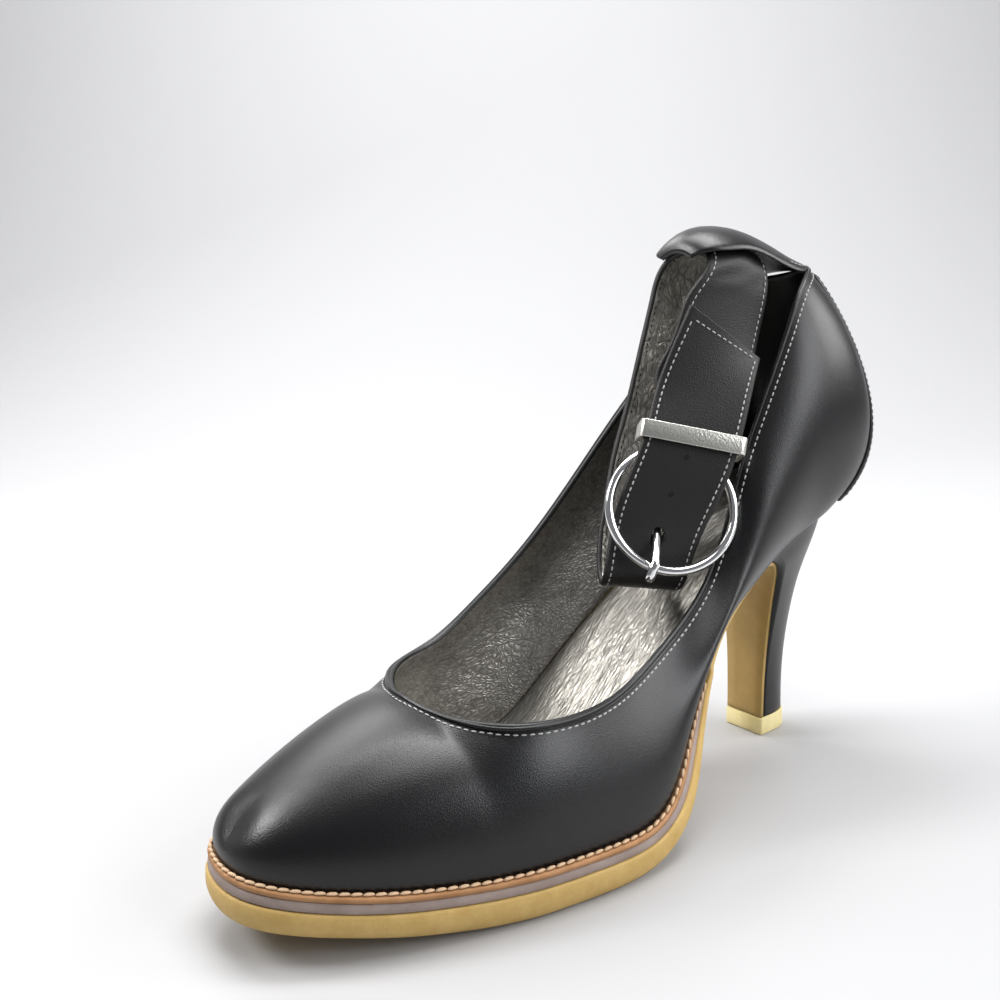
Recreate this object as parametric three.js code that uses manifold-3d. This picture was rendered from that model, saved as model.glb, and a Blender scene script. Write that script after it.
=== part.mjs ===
// Ankle strap pump, left shoe, in millimetres: +X to the toe, +Y to the wearer's left, floor at z 0.
import * as THREE from "three";
import { mergeVertices } from "three/addons/utils/BufferGeometryUtils.js";
import Module from "manifold-3d";

const wasm = await Module();
wasm.setup();

// driving sizes
const reach = 197; // heel tip centre to the toe of the sole
const ballWidth = 84; // widest place of the sole
const backHeight = 152; // floor to the top of the back
const upperWall = 1.9; // leather and lining together
const counterStep = 0.9; // thickness of the counter overlay
const fitGap = 0.3; // room between pieces
const weltThick = 1.4;
const seatLeanLateral = 0.22; // the seat is lower on the outer side, as the photo shows it
const seatLeanMedial = 0.11;
const midsoleThick = 2.4;
const sockThick = 1.8;
const liftHeight = 6.3;
const breastThick = 1.4;
const strapThick = 2.2;
const ringRadius = 18.55;
const ringShift = 2; // the ring hangs off the middle of the band
const ringWire = 1.35;
const prongWire = 1.2;
const keeperWall = 0.9;
const keeperHeight = 5.3;

// top of the sole stack on the centre line: x of reach, z of backHeight, stack thickness of ballWidth
const bedRows = [
  [1, 0.1395, 0.1369],
  [0.9442, 0.1243, 0.1357],
  [0.8731, 0.1089, 0.1345],
  [0.7919, 0.0954, 0.1417],
  [0.7107, 0.087, 0.1488],
  [0.6497, 0.084, 0.1512],
  [0.6041, 0.0836, 0.1512],
  [0.5508, 0.0836, 0.1512],
  [0.5076, 0.0895, 0.1488],
  [0.468, 0.1086, 0.1405],
  [0.4294, 0.1447, 0.1202],
  [0.3736, 0.2217, 0.0881],
  [0.3122, 0.3066, 0.0571],
  [0.267, 0.3592, 0.0417],
  [0.2152, 0.4092, 0.0333],
  [0.1731, 0.4408, 0.0298],
  [0.1325, 0.4658, 0.0286],
  [0.0508, 0.5105, 0.0286],
  [-0.0406, 0.5559, 0.0286],
  [-0.1244, 0.598, 0.0286],
];
// plan outlines: sole x, lateral y, medial y, then upper x, lateral y, medial y
const edgeRows = [
  [0.998, 0.0417, 0.0417, 0.9898, 0.0417, 0.0417],
  [0.9868, 0.1667, -0.0988, 0.9807, 0.1524, -0.0857],
  [0.9548, 0.2619, -0.181, 0.9508, 0.2429, -0.1667],
  [0.9036, 0.3476, -0.2583, 0.9, 0.3262, -0.2452],
  [0.8376, 0.425, -0.3238, 0.835, 0.4012, -0.306],
  [0.7716, 0.4774, -0.3655, 0.7716, 0.4536, -0.3393],
  [0.7259, 0.5095, -0.3881, 0.7259, 0.4857, -0.3619],
  [0.7056, 0.5214, -0.3952, 0.7056, 0.4976, -0.369],
  [0.6751, 0.5381, -0.4048, 0.6751, 0.5131, -0.3786],
  [0.632, 0.5571, -0.4119, 0.632, 0.5321, -0.3857],
  [0.5685, 0.575, -0.4024, 0.5685, 0.55, -0.375],
  [0.5076, 0.569, -0.3738, 0.5076, 0.5464, -0.35],
  [0.4492, 0.531, -0.3357, 0.4492, 0.5119, -0.3167],
  [0.3934, 0.4643, -0.2929, 0.3934, 0.4524, -0.281],
  [0.3376, 0.4024, -0.25, 0.3376, 0.4024, -0.2429],
  [0.2792, 0.3524, -0.2071, 0.2792, 0.3571, -0.206],
  [0.2183, 0.3143, -0.1786, 0.2183, 0.3238, -0.181],
  [0.1574, 0.2881, -0.169, 0.1574, 0.3, -0.1762],
  [0.0964, 0.2667, -0.1857, 0.0964, 0.2833, -0.1929],
  [0.033, 0.2571, -0.2143, 0.033, 0.2714, -0.2262],
  [-0.033, 0.2452, -0.2214, -0.033, 0.2714, -0.2381],
  [-0.0939, 0.181, -0.1643, -0.0995, 0.1976, -0.1762],
  [-0.1198, 0, 0, -0.1279, 0, 0],
];
// one row per station from the toe over the ridge, the throat and the topline to the back:
// top edge x, y, z, low handle forward, out, up, high handle forward, out, down
const lateralRows = [
  [0.9685, 0.0417, 0.1908, 0.0061, 0, 0.0303, 0.0102, 0, 0.0171],
  [0.9442, 0.0417, 0.2211, 0.0025, 0.0167, 0.0539, 0.0071, 0.0774, 0.0072],
  [0.9086, 0.0417, 0.2507, 0.0015, 0.0238, 0.0789, 0.0041, 0.131, 0.0033],
  [0.8604, 0.0417, 0.2809, 0, 0.0262, 0.102, 0.002, 0.1786, 0.0007],
  [0.802, 0.0417, 0.3099, 0, 0.0286, 0.1217, 0, 0.2262, 0],
  [0.7487, 0.0417, 0.325, 0, 0.0298, 0.1283, 0, 0.256, 0],
  [0.7223, 0.0417, 0.3211, 0, 0.0298, 0.125, 0, 0.2679, 0],
  [0.7137, 0.1667, 0.3158, 0, 0.0298, 0.1151, 0, 0.1905, 0.0118],
  [0.6878, 0.3214, 0.3092, 0, 0.0298, 0.102, 0, 0.1024, 0.0263],
  [0.6396, 0.4238, 0.3053, 0, 0.0298, 0.0921, 0, 0.0667, 0.0447],
  [0.5635, 0.4524, 0.3026, 0, 0.031, 0.0855, 0, 0.0548, 0.0625],
  [0.4873, 0.4214, 0.3079, 0, 0.0357, 0.0822, 0, 0.0595, 0.0658],
  [0.4264, 0.3833, 0.3263, 0, 0.0476, 0.0789, 0, 0.0643, 0.0658],
  [0.3579, 0.3429, 0.3605, 0.0025, 0.0619, 0.0691, 0, 0.0762, 0.0592],
  [0.2934, 0.3143, 0.4105, 0.0051, 0.0786, 0.0625, 0, 0.0881, 0.0526],
  [0.2457, 0.2881, 0.4697, 0.0025, 0.0952, 0.0658, 0, 0.1071, 0.0559],
  [0.203, 0.2726, 0.5605, 0, 0.1012, 0.0691, 0, 0.119, 0.0658],
  [0.1685, 0.2679, 0.6645, 0, 0.119, 0.0855, 0, 0.1262, 0.0822],
  [0.1228, 0.2679, 0.7763, -0.0025, 0.1369, 0.1053, -0.0025, 0.131, 0.102],
  [0.069, 0.2619, 0.8974, -0.0076, 0.1548, 0.125, -0.0076, 0.15, 0.125],
  [0.0162, 0.231, 0.9868, -0.0228, 0.1845, 0.125, -0.0279, 0.1643, 0.1316],
  [-0.0437, 0.1429, 1.025, -0.0431, 0.1821, 0.1053, -0.0472, 0.1429, 0.1217],
  [-0.0619, 0, 1.0184, -0.0381, 0, 0.1086, -0.0406, 0, 0.125],
];
const medialRows = [
  [0.9685, 0.0417, 0.1908, 0.0061, 0, 0.0303, 0.0102, 0, 0.0171],
  [0.9442, 0.0417, 0.2211, 0.0046, 0.0226, 0.0539, 0.0071, 0.0667, 0.0072],
  [0.9086, 0.0417, 0.2507, 0.0025, 0.0274, 0.0763, 0.0041, 0.1095, 0.0033],
  [0.8604, 0.0417, 0.2809, 0, 0.0274, 0.1, 0.002, 0.15, 0.0007],
  [0.802, 0.0417, 0.3099, 0, 0.0274, 0.1237, 0, 0.2024, 0],
  [0.7487, 0.0417, 0.325, 0, 0.0274, 0.1421, 0, 0.281, 0],
  [0.7223, 0.0417, 0.3211, 0, 0.0274, 0.1474, 0, 0.3024, 0],
  [0.7147, -0.0774, 0.3178, 0, 0.0274, 0.1342, 0, 0.2167, 0.0053],
  [0.6868, -0.2202, 0.3158, 0, 0.0274, 0.1145, 0, 0.1214, 0.0184],
  [0.6371, -0.319, 0.3158, 0, 0.0274, 0.0954, 0, 0.0571, 0.0447],
  [0.5711, -0.3571, 0.3316, 0, 0.031, 0.0888, 0, 0.0452, 0.0625],
  [0.5051, -0.3667, 0.3763, 0, 0.0381, 0.0888, 0, 0.0429, 0.0789],
  [0.4416, -0.3595, 0.4342, 0, 0.05, 0.0921, 0, 0.0429, 0.0921],
  [0.3782, -0.35, 0.5026, 0.0025, 0.0738, 0.0987, 0, 0.0476, 0.0987],
  [0.3147, -0.3405, 0.5829, 0.0051, 0.1071, 0.0987, 0, 0.0536, 0.1053],
  [0.2538, -0.3286, 0.6671, 0.0025, 0.1369, 0.0987, 0, 0.0595, 0.1118],
  [0.2005, -0.3167, 0.7408, 0, 0.1583, 0.102, 0, 0.0714, 0.1118],
  [0.1497, -0.3024, 0.8092, 0, 0.169, 0.1086, 0, 0.0833, 0.1184],
  [0.1015, -0.2798, 0.875, -0.0025, 0.1702, 0.1184, -0.0025, 0.0952, 0.125],
  [0.0558, -0.2476, 0.9342, -0.0076, 0.1643, 0.125, -0.0076, 0.119, 0.1316],
  [0.0132, -0.1929, 0.9803, -0.0203, 0.1643, 0.1316, -0.0254, 0.1429, 0.1316],
  [-0.0345, -0.1119, 1.0079, -0.0406, 0.1583, 0.1184, -0.0457, 0.125, 0.1217],
  [-0.0619, 0, 1.0184, -0.0381, 0, 0.1086, -0.0406, 0, 0.125],
];
const throatRow = 6;
// front of the heel: x, z, half width lateral and medial
const breastRows = [
  [0.0421, 0.0434, 0.0833, 0.0976],
  [0.0401, 0.1316, 0.0869, 0.1],
  [0.0401, 0.2171, 0.1024, 0.1048],
  [0.0431, 0.3066, 0.131, 0.1167],
  [0.0518, 0.375, 0.169, 0.1333],
  [0.0675, 0.4204, 0.2071, 0.15],
  [0.0964, 0.4454, 0.2429, 0.1619],
  [0.135, 0.4507, 0.2738, 0.169],
];
// back of the heel at each level: x, z, half width lateral and medial
const heelRows = [
  [-0.0355, 0.0434, 0.0845, 0.1],
  [-0.036, 0.1316, 0.0881, 0.1036],
  [-0.0437, 0.2434, 0.1071, 0.1143],
  [-0.0589, 0.3586, 0.1452, 0.1405],
  [-0.0761, 0.4342, 0.1857, 0.1667],
  [-0.0944, 0.5026, 0.2238, 0.1952],
  [-0.1096, 0.5526, 0.2452, 0.2119],
  [-0.1193, 0.5868, 0.2595, 0.2214],
  [-0.1213, 0.5941, 0.2619, 0.2238],
];
// slack strap from the ring end over the top and round to the tip: back edge, front edge, crown
const strapRows = [
  [0.1482, 0.2381, 0.7763, 0.2563, 0.0452, 0.8132, 0],
  [0.1056, 0.1869, 0.8487, 0.2335, 0.0655, 0.8928, 0.0048],
  [0.0695, 0.1571, 0.9487, 0.2066, 0.1036, 0.9901, 0.0095],
  [0.0558, 0.1429, 1.0105, 0.1827, 0.1286, 1.0329, 0.0095],
  [0.0487, 0.1048, 1.0395, 0.1695, 0.1024, 1.0566, 0.0262],
  [0.0447, 0.0024, 1.0539, 0.1655, -0.0048, 1.0697, 0.0405],
  [0.0457, -0.1024, 1.0382, 0.1665, -0.1071, 1.0539, 0.0262],
  [0.0477, -0.1452, 1.0079, 0.1726, -0.1405, 1.0289, 0.0095],
  [0.0558, -0.1476, 0.9539, 0.1848, -0.1476, 0.9842, 0.0071],
  [0.0832, -0.1381, 0.8408, 0.2157, -0.1405, 0.8816, 0.0048],
  [0.1198, -0.1238, 0.7132, 0.2533, -0.1286, 0.7632, 0.0048],
  [0.1624, -0.1024, 0.6066, 0.2934, -0.1048, 0.6632, 0.006],
  [0.198, -0.0619, 0.5118, 0.3289, -0.0619, 0.5711, 0.006],
  [0.2274, -0.0071, 0.4434, 0.3594, -0.0167, 0.4882, 0.006],
  [0.2508, 0.081, 0.4158, 0.3777, 0.0429, 0.4434, 0.0036],
  [0.266, 0.1738, 0.4171, 0.3838, 0.0786, 0.4632, 0.0048],
  [0.2619, 0.2286, 0.4763, 0.3701, 0.0726, 0.5204, 0.0143],
  [0.2376, 0.2833, 0.5789, 0.3447, 0.0774, 0.6112, 0],
  [0.2051, 0.3083, 0.6671, 0.3132, 0.1107, 0.7118, 0],
  [0.1589, 0.2857, 0.7836, 0.2695, 0.0905, 0.8217, 0],
  [0.1147, 0.231, 0.8526, 0.2264, 0.1524, 0.9658, 0],
];
// x, z, half width, fall of the edges
const tongueRows = [
  [-0.064, 1.0368, 0.1143, 0.002],
  [-0.0457, 1.048, 0.1357, 0.0053],
  [-0.0152, 1.0671, 0.15, 0.0158],
  [0.0203, 1.0895, 0.1619, 0.0289],
  [0.0609, 1.1079, 0.1714, 0.0408],
  [0.1015, 1.1184, 0.1762, 0.0487],
  [0.1421, 1.1191, 0.1714, 0.0487],
  [0.1706, 1.1079, 0.1595, 0.0408],
  [0.1868, 1.0895, 0.1452, 0.0316],
  [0.1929, 1.0684, 0.1333, 0.0237],
];

const scaleRows = (rows, units) => rows.map((row) => row.map((value, i) => value * units[i]));
const x = reach;
const y = ballWidth;
const z = backHeight;

// natural cubic spline through points at the given places
function spline(places, points) {
  const n = places.length;
  const width = points[0].length;
  const second = points.map(() => new Array(width).fill(0));
  for (let c = 0; c < width; c++) {
    const upper = new Array(n).fill(0);
    const right = new Array(n).fill(0);
    for (let i = 1; i < n - 1; i++) {
      const before = places[i] - places[i - 1];
      const after = places[i + 1] - places[i];
      const bend = 6 * ((points[i + 1][c] - points[i][c]) / after
        - (points[i][c] - points[i - 1][c]) / before);
      const pivot = 2 * (before + after) - before * upper[i - 1];
      upper[i] = after / pivot;
      right[i] = (bend - before * right[i - 1]) / pivot;
    }
    for (let i = n - 2; i > 0; i--) second[i][c] = right[i] - upper[i] * second[i + 1][c];
  }
  return (place) => {
    let i = 0;
    while (i < n - 2 && place > places[i + 1]) i++;
    const step = places[i + 1] - places[i];
    const b = (place - places[i]) / step;
    const a = 1 - b;
    return points[i].map((value, c) => a * value + b * points[i + 1][c]
      + ((a * a * a - a) * second[i][c] + (b * b * b - b) * second[i + 1][c]) * step * step / 6);
  };
}
const counted = (rows) => spline(rows.map((row, i) => i), rows);
const clampTo = (value, low, high) => Math.min(high, Math.max(low, value));
const ease = (value, low, high) => {
  const t = clampTo((value - low) / (high - low), 0, 1);
  return t * t * (3 - 2 * t);
};

// the bed: height, slope and stack thickness over the centre line
const bedSizes = scaleRows(bedRows, [x, z, y]).reverse();
const bedCurve = spline(bedSizes.map((row) => row[0]), bedSizes.map((row) => row.slice(1)));
function bedAt(place) {
  const [height, stack] = bedCurve(place);
  const slope = (bedCurve(place + 0.5)[0] - bedCurve(place - 0.5)[0]);
  const length = Math.hypot(1, slope);
  return { height, stack, nx: -slope / length, nz: 1 / length };
}
// the waist is twisted: its outer side lies further back
const twist = (place) => 0.13 * ease(place, 0.091 * x, 0.254 * x) * (1 - ease(place, 0.523 * x, 0.67 * x));
const lean = (place, side) => -(side > 0 ? seatLeanLateral : seatLeanMedial) * side * (1 - ease(place, 0.142 * x, 0.315 * x));
function onBed(place, side, drop) {
  const bed = bedAt(place);
  const height = bed.height - drop * bed.nz + lean(place, side);
  return [place - twist(place) * side - drop * bed.nx, side, Math.abs(height) < 0.2 ? 0 : height];
}

// meshes are gathered as loose triangles and welded
function quad(list, a, b, c, d) {
  list.push(a, b, c, a, c, d);
}
function solid(name, list, colour, roughness, metalness) {
  const flat = new Float32Array(list.flat());
  let geometry = new THREE.BufferGeometry();
  geometry.setAttribute("position", new THREE.BufferAttribute(flat, 3));
  geometry = mergeVertices(geometry, 1e-3);
  const index = geometry.index.array;
  const kept = [];
  for (let i = 0; i < index.length; i += 3) {
    const [a, b, c] = [index[i], index[i + 1], index[i + 2]];
    if (a !== b && b !== c && c !== a) kept.push(a, b, c);
  }
  const spots = geometry.attributes.position;
  let volume = 0;
  const p = new THREE.Vector3();
  const q = new THREE.Vector3();
  const r = new THREE.Vector3();
  for (let i = 0; i < kept.length; i += 3) {
    p.fromBufferAttribute(spots, kept[i]);
    q.fromBufferAttribute(spots, kept[i + 1]);
    r.fromBufferAttribute(spots, kept[i + 2]);
    volume += p.dot(q.cross(r));
  }
  if (volume < 0) kept.reverse();
  geometry.setIndex(kept);
  geometry.computeVertexNormals();
  const mesh = new THREE.Mesh(geometry, new THREE.MeshStandardMaterial({ color: colour, roughness, metalness }));
  mesh.name = name;
  return mesh;
}

// the two edges as chains from the toe to the heel
const edgeSizes = scaleRows(edgeRows, [x, y, y, x, y, y]);
const lastRow = edgeRows.length - 1;
function sideChain(rowsLeft, rowsRight) {
  const ghost = 3;
  const left = [];
  for (let i = ghost; i > 0; i--) left.push(rowsRight[i]);
  left.push(...rowsLeft);
  for (let i = 1; i <= ghost; i++) left.push(rowsRight[lastRow - i]);
  return spline(left.map((row, i) => i - ghost), left);
}
const pick = (columns) => edgeSizes.map((row) => columns.map((c) => row[c]));
const soleLateral = sideChain(pick([0, 1]), pick([0, 2]));
const soleMedial = sideChain(pick([0, 2]), pick([0, 1]));
const upperLateral = sideChain(pick([3, 4]), pick([3, 5]));
const upperMedial = sideChain(pick([3, 5]), pick([3, 4]));

// outline points with an inset, matched across the foot
function outline(lateral, medial, places, inset) {
  return [lateral, medial].map((curve, side) => places.map((u) => {
    const [px, py] = curve(u);
    const before = curve(u - 0.05);
    const after = curve(u + 0.05);
    const sign = side === 0 ? 1 : -1;
    const length = Math.hypot(after[0] - before[0], after[1] - before[1]);
    const nx = sign * (after[1] - before[1]) / length;
    const ny = -sign * (after[0] - before[0]) / length;
    return [px - nx * inset, py - ny * inset];
  }));
}
// a plate on the bed: its side is a list of rings, each an inset and a drop below the bed
function plate(lateral, medial, places, rings) {
  const list = [];
  const levels = rings.map(([inset, drop]) => {
    const [left, right] = outline(lateral, medial, places, inset);
    const lift = (point) => onBed(point[0], point[1], drop(point[0]));
    const a = left.map(lift);
    const b = right.map(lift);
    a[0] = b[0] = a[0].map((value, c) => (value + b[0][c]) / 2);
    if (places[places.length - 1] >= lastRow) {
      const end = a.length - 1;
      a[end] = b[end] = a[end].map((value, c) => (value + b[end][c]) / 2);
    }
    return [a, b];
  });
  const cap = (level, flip) => {
    const [a, b] = level;
    for (let i = 0; i < a.length - 1; i++) {
      if (flip) quad(list, a[i], a[i + 1], b[i + 1], b[i]);
      else quad(list, b[i], b[i + 1], a[i + 1], a[i]);
    }
  };
  cap(levels[0], false);
  cap(levels[levels.length - 1], true);
  for (let j = 0; j < levels.length - 1; j++) {
    const [a, b] = levels[j];
    const [c, d] = levels[j + 1];
    const end = a.length - 1;
    for (let i = 0; i < end; i++) {
      quad(list, a[i], a[i + 1], c[i + 1], c[i]);
      quad(list, b[i + 1], b[i], d[i], d[i + 1]);
    }
    quad(list, a[end], b[end], d[end], c[end]);
  }
  return list;
}

// the upper: each station is a curve from the bed to the ridge or the topline
const units = [x, y, z, x, y, z, x, y, z];
function handles(rows, curve, sign) {
  return scaleRows(rows, units).map((row, u) => {
    const [px, py] = curve(u);
    const foot = onBed(px, py, -fitGap);
    const top = [row[0], row[1], row[2]];
    return [
      ...foot,
      foot[0] + row[3], foot[1] + sign * row[4], foot[2] + row[5],
      top[0] + row[6], top[1] + sign * row[7], top[2] - row[8],
      ...top,
    ];
  });
}
const lateralHandles = handles(lateralRows, upperLateral, 1);
const medialHandles = handles(medialRows, upperMedial, -1);
const low = (rows) => rows.map((row) => row.slice(0, 6));
const high = (rows) => rows.map((row) => row.slice(6));
// the ring runs from the toe down the lateral side to the back (22) and up the medial side to the toe (44)
const ringEnd = 2 * lastRow;
function ringSplineOf(ring) {
  const ghost = 4;
  const chain = [];
  for (let i = -ghost; i <= ring.length + ghost; i++) chain.push(ring[(i + ring.length) % ring.length]);
  return spline(chain.map((row, i) => i - ghost), chain);
}
function lowRows() {
  const left = low(lateralHandles);
  const right = low(medialHandles);
  const ring = [...left];
  for (let i = lastRow - 1; i > 0; i--) ring.push(right[i]);
  return ring;
}
const lowSpline = ringSplineOf(lowRows());
const backChain = [
  ...high(lateralHandles).slice(throatRow),
  ...high(medialHandles).slice(throatRow, lastRow).reverse(),
];
const backSpline = spline(backChain.map((row, i) => throatRow + i), backChain);
const toeChain = [
  ...high(medialHandles).slice(1, throatRow + 1).reverse(),
  ...high(lateralHandles).slice(0, throatRow + 1),
];
const toeSpline = spline(toeChain.map((row, i) => i - throatRow), toeChain);
function stationHandles(place) {
  const inToe = place < throatRow || place > ringEnd - throatRow;
  const top = inToe ? toeSpline(place < lastRow ? place : place - ringEnd) : backSpline(place);
  return [...lowSpline(place), ...top];
}
const stationCache = new Map();
function lastPoint(place, v) {
  const key = place.toFixed(4);
  if (!stationCache.has(key)) stationCache.set(key, stationHandles(place));
  const h = stationCache.get(key);
  const w = 1 - v;
  const share = [w * w * w, 3 * w * w * v, 3 * w * v * v, v * v * v];
  return [0, 1, 2].map((c) => share[0] * h[c] + share[1] * h[c + 3] + share[2] * h[c + 6] + share[3] * h[c + 9]);
}
function lastNormal(place, v) {
  const s = 0.02;
  const limit = (value) => clampTo(value, 0, 1);
  const turn = (value) => (value + ringEnd) % ringEnd;
  const a = new THREE.Vector3(...lastPoint(turn(place + s), v)).sub(
    new THREE.Vector3(...lastPoint(turn(place - s), v)));
  const b = new THREE.Vector3(...lastPoint(place, limit(v + s))).sub(
    new THREE.Vector3(...lastPoint(place, limit(v - s))));
  return a.cross(b).normalize();
}

// stations: closer together at the toe, the throat and the back
const sidePlaces = [0, 0.35, 0.7, 1.05];
for (let u = 1.5; u < 5.9; u += 0.5) sidePlaces.push(u);
sidePlaces.push(6, 6.3, 6.65);
for (let u = 7; u < 20.9; u += 0.5) sidePlaces.push(u);
sidePlaces.push(21, 21.35, 21.68, 22);
const ringPlaces = [...sidePlaces, ...sidePlaces.slice(1, -1).reverse().map((u) => ringEnd - u)];
const rise = 11;

function upperMesh() {
  const columns = ringPlaces.map((place) => {
    const column = [];
    for (let j = 0; j <= rise; j++) column.push(lastPoint(place, j / rise));
    return column;
  });
  const count = columns.length;
  const open = (i) => {
    const place = ringPlaces[i % count];
    return place >= throatRow && place <= ringEnd - throatRow;
  };
  const mirrored = (i) => (count - i) % count;
  columns.forEach((column, i) => {
    if (!open(i)) column[rise] = columns[mirrored(i)][rise] = column[rise].map(
      (value, c) => (value + columns[mirrored(i)][rise][c]) / 2);
  });
  const first = ringPlaces.indexOf(throatRow);
  columns[mirrored(first)][rise] = columns[first][rise];
  // area normals at each vertex
  const key = (point) => point.map((value) => value.toFixed(3)).join();
  const normals = new Map();
  const addNormal = (a, b, c) => {
    const edge = new THREE.Vector3(...b).sub(new THREE.Vector3(...a));
    const normal = edge.cross(new THREE.Vector3(...c).sub(new THREE.Vector3(...a)));
    for (const point of [a, b, c]) {
      if (!normals.has(key(point))) normals.set(key(point), new THREE.Vector3());
      normals.get(key(point)).add(normal);
    }
  };
  const list = [];
  for (let i = 0; i < count; i++) {
    const next = (i + 1) % count;
    for (let j = 0; j < rise; j++) {
      const four = [columns[i][j], columns[next][j], columns[next][j + 1], columns[i][j + 1]];
      quad(list, ...four);
      addNormal(four[0], four[1], four[2]);
      addNormal(four[0], four[2], four[3]);
    }
  }
  const inner = columns.map((column) => column.map((point, j) => {
    const normal = normals.get(key(point)).clone();
    if (j === 0) normal.z = 0;
    normal.normalize();
    const moved = point.map((value, c) => value - upperWall * normal.getComponent(c));
    if (j > 0) return moved;
    return onBed(moved[0] + twist(moved[0]) * moved[1], moved[1], -fitGap);
  }));
  for (let i = 0; i < count; i++) {
    const next = (i + 1) % count;
    for (let j = 0; j < rise; j++) {
      quad(list, inner[next][j], inner[i][j], inner[i][j + 1], inner[next][j + 1]);
    }
    quad(list, columns[next][0], columns[i][0], inner[i][0], inner[next][0]);
    if (open(i) && open(i + 1)) {
      quad(list, columns[i][rise], columns[next][rise], inner[next][rise], inner[i][rise]);
    }
  }
  return list;
}

// the counter overlay follows the upper behind its seam
const seamLateral = spline([0, 0.3, 0.55, 1], [[20.3], [20.75], [20.95], [21.0]]);
const seamMedial = spline([0, 0.15, 0.3, 0.5, 0.75, 1], [[19.1], [19.55], [19.95], [20.25], [20.35], [20.4]]);
function counterMesh() {
  const across = 14;
  const up = 10;
  const layer = (lift) => {
    const grid = [];
    for (let j = 0; j <= up; j++) {
      const v = 0.015 + 0.965 * j / up;
      const from = seamLateral(v)[0];
      const to = ringEnd - seamMedial(v)[0];
      const row = [];
      for (let i = 0; i <= across; i++) {
        const place = from + (to - from) * i / across;
        const point = lastPoint(place, v);
        const normal = lastNormal(place, v);
        row.push(point.map((value, c) => value + lift * normal.getComponent(c)));
      }
      grid.push(row);
    }
    return grid;
  };
  return slabFromGrids(layer(fitGap + counterStep), layer(fitGap + 0.32));
}
function slabFromGrids(front, back) {
  const list = [];
  const up = front.length - 1;
  const across = front[0].length - 1;
  for (let j = 0; j < up; j++) {
    for (let i = 0; i < across; i++) {
      quad(list, front[j][i], front[j][i + 1], front[j + 1][i + 1], front[j + 1][i]);
      quad(list, back[j][i + 1], back[j][i], back[j + 1][i], back[j + 1][i + 1]);
    }
    quad(list, front[j + 1][0], back[j + 1][0], back[j][0], front[j][0]);
    quad(list, front[j][across], back[j][across], back[j + 1][across], front[j + 1][across]);
  }
  for (let i = 0; i < across; i++) {
    quad(list, front[0][i], back[0][i], back[0][i + 1], front[0][i + 1]);
    quad(list, front[up][i + 1], back[up][i + 1], back[up][i], front[up][i]);
  }
  return list;
}

// the heel: levels from the tip to the seat, flat in front and round behind
const breastSizes = scaleRows(breastRows, [x, z, y, y]);
breastSizes[0][1] = liftHeight + fitGap;
const breastCurve = counted(breastSizes);
function breastAt(place, depth) {
  const [px, pz, left, right] = breastCurve(place);
  const before = breastCurve(Math.max(0, place - 0.05));
  const after = breastCurve(Math.min(breastRows.length - 1, place + 0.05));
  const length = Math.hypot(after[0] - before[0], after[1] - before[1]);
  const nx = -(after[1] - before[1]) / length;
  const nz = (after[0] - before[0]) / length;
  return [px + nx * depth, pz + nz * depth, left, right];
}
function tipOutline(front, back, left, right, square) {
  const ring = [];
  const steps = 9;
  for (let i = 0; i <= steps; i++) {
    const a = Math.pow(i / steps, 0.8);
    const share = Math.pow(Math.max(0, 1 - Math.pow(a, square)), 1 / square);
    ring.push([a, share * left]);
  }
  for (let i = steps - 1; i >= 0; i--) {
    const a = Math.pow(i / steps, 0.8);
    const share = Math.pow(Math.max(0, 1 - Math.pow(a, square)), 1 / square);
    ring.push([a, -share * right]);
  }
  return ring.map(([a, side]) => [front[0] + a * (back[0] - front[0]), side, front[1] + a * (back[1] - front[1])]);
}
function loft(rings) {
  const list = [];
  const count = rings[0].length;
  for (let k = 0; k < rings.length - 1; k++) {
    for (let i = 0; i < count; i++) {
      const next = (i + 1) % count;
      quad(list, rings[k][i], rings[k][next], rings[k + 1][next], rings[k + 1][i]);
    }
  }
  const cap = (ring, flip) => {
    for (let i = 0; i < (count - 1) / 2; i++) {
      const [a, b, c, d] = [ring[i], ring[i + 1], ring[count - 2 - i], ring[count - 1 - i]];
      if (flip) quad(list, a, b, c, d);
      else quad(list, d, c, b, a);
    }
  };
  cap(rings[0], false);
  cap(rings[rings.length - 1], true);
  return list;
}
const heelSizes = scaleRows(heelRows, [x, z, y, y]);
heelSizes[0][1] = liftHeight + fitGap;
const tilted = (share) => ([px, py, pz]) => [px, py, pz + lean(px, py) * share];
function heelMesh() {
  const curve = counted(heelSizes);
  const rings = [];
  for (const third of [0, 2, 4, 6, 8, 10, 12, 13, 14, 15, 16, 17, 18, 19]) {
    const level = third / 3;
    const [bx, bz, left, right] = curve(level);
    const front = breastAt(level, breastThick + fitGap);
    if (level === 0) front[1] = bz;
    rings.push(tipOutline(front, [bx, bz], left, right, 2.5).map(tilted((level / 7) ** 2)));
  }
  const endFront = breastAt(20 / 3, breastThick + fitGap);
  rings.push(tipOutline(endFront, heelSizes[7], heelSizes[7][2], heelSizes[7][3], 2.5).map(tilted((20 / 21) ** 2)));
  const seatFront = [endFront[0], bedAt(endFront[0]).height - 0.05];
  rings.push(tipOutline(seatFront, heelSizes[8], heelSizes[8][2], heelSizes[8][3], 2.5).map(tilted(1)));
  return loft(rings);
}
function liftMesh() {
  const [bx, , left, right] = heelSizes[0];
  const front = breastAt(0, 0)[0];
  const ring = (height, inset) => tipOutline([front - inset, height], [bx + inset, height],
    left - inset, right - inset, 3.2);
  return loft([ring(0, 0.3), ring(0.5, 0), ring(liftHeight, 0)]);
}
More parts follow.
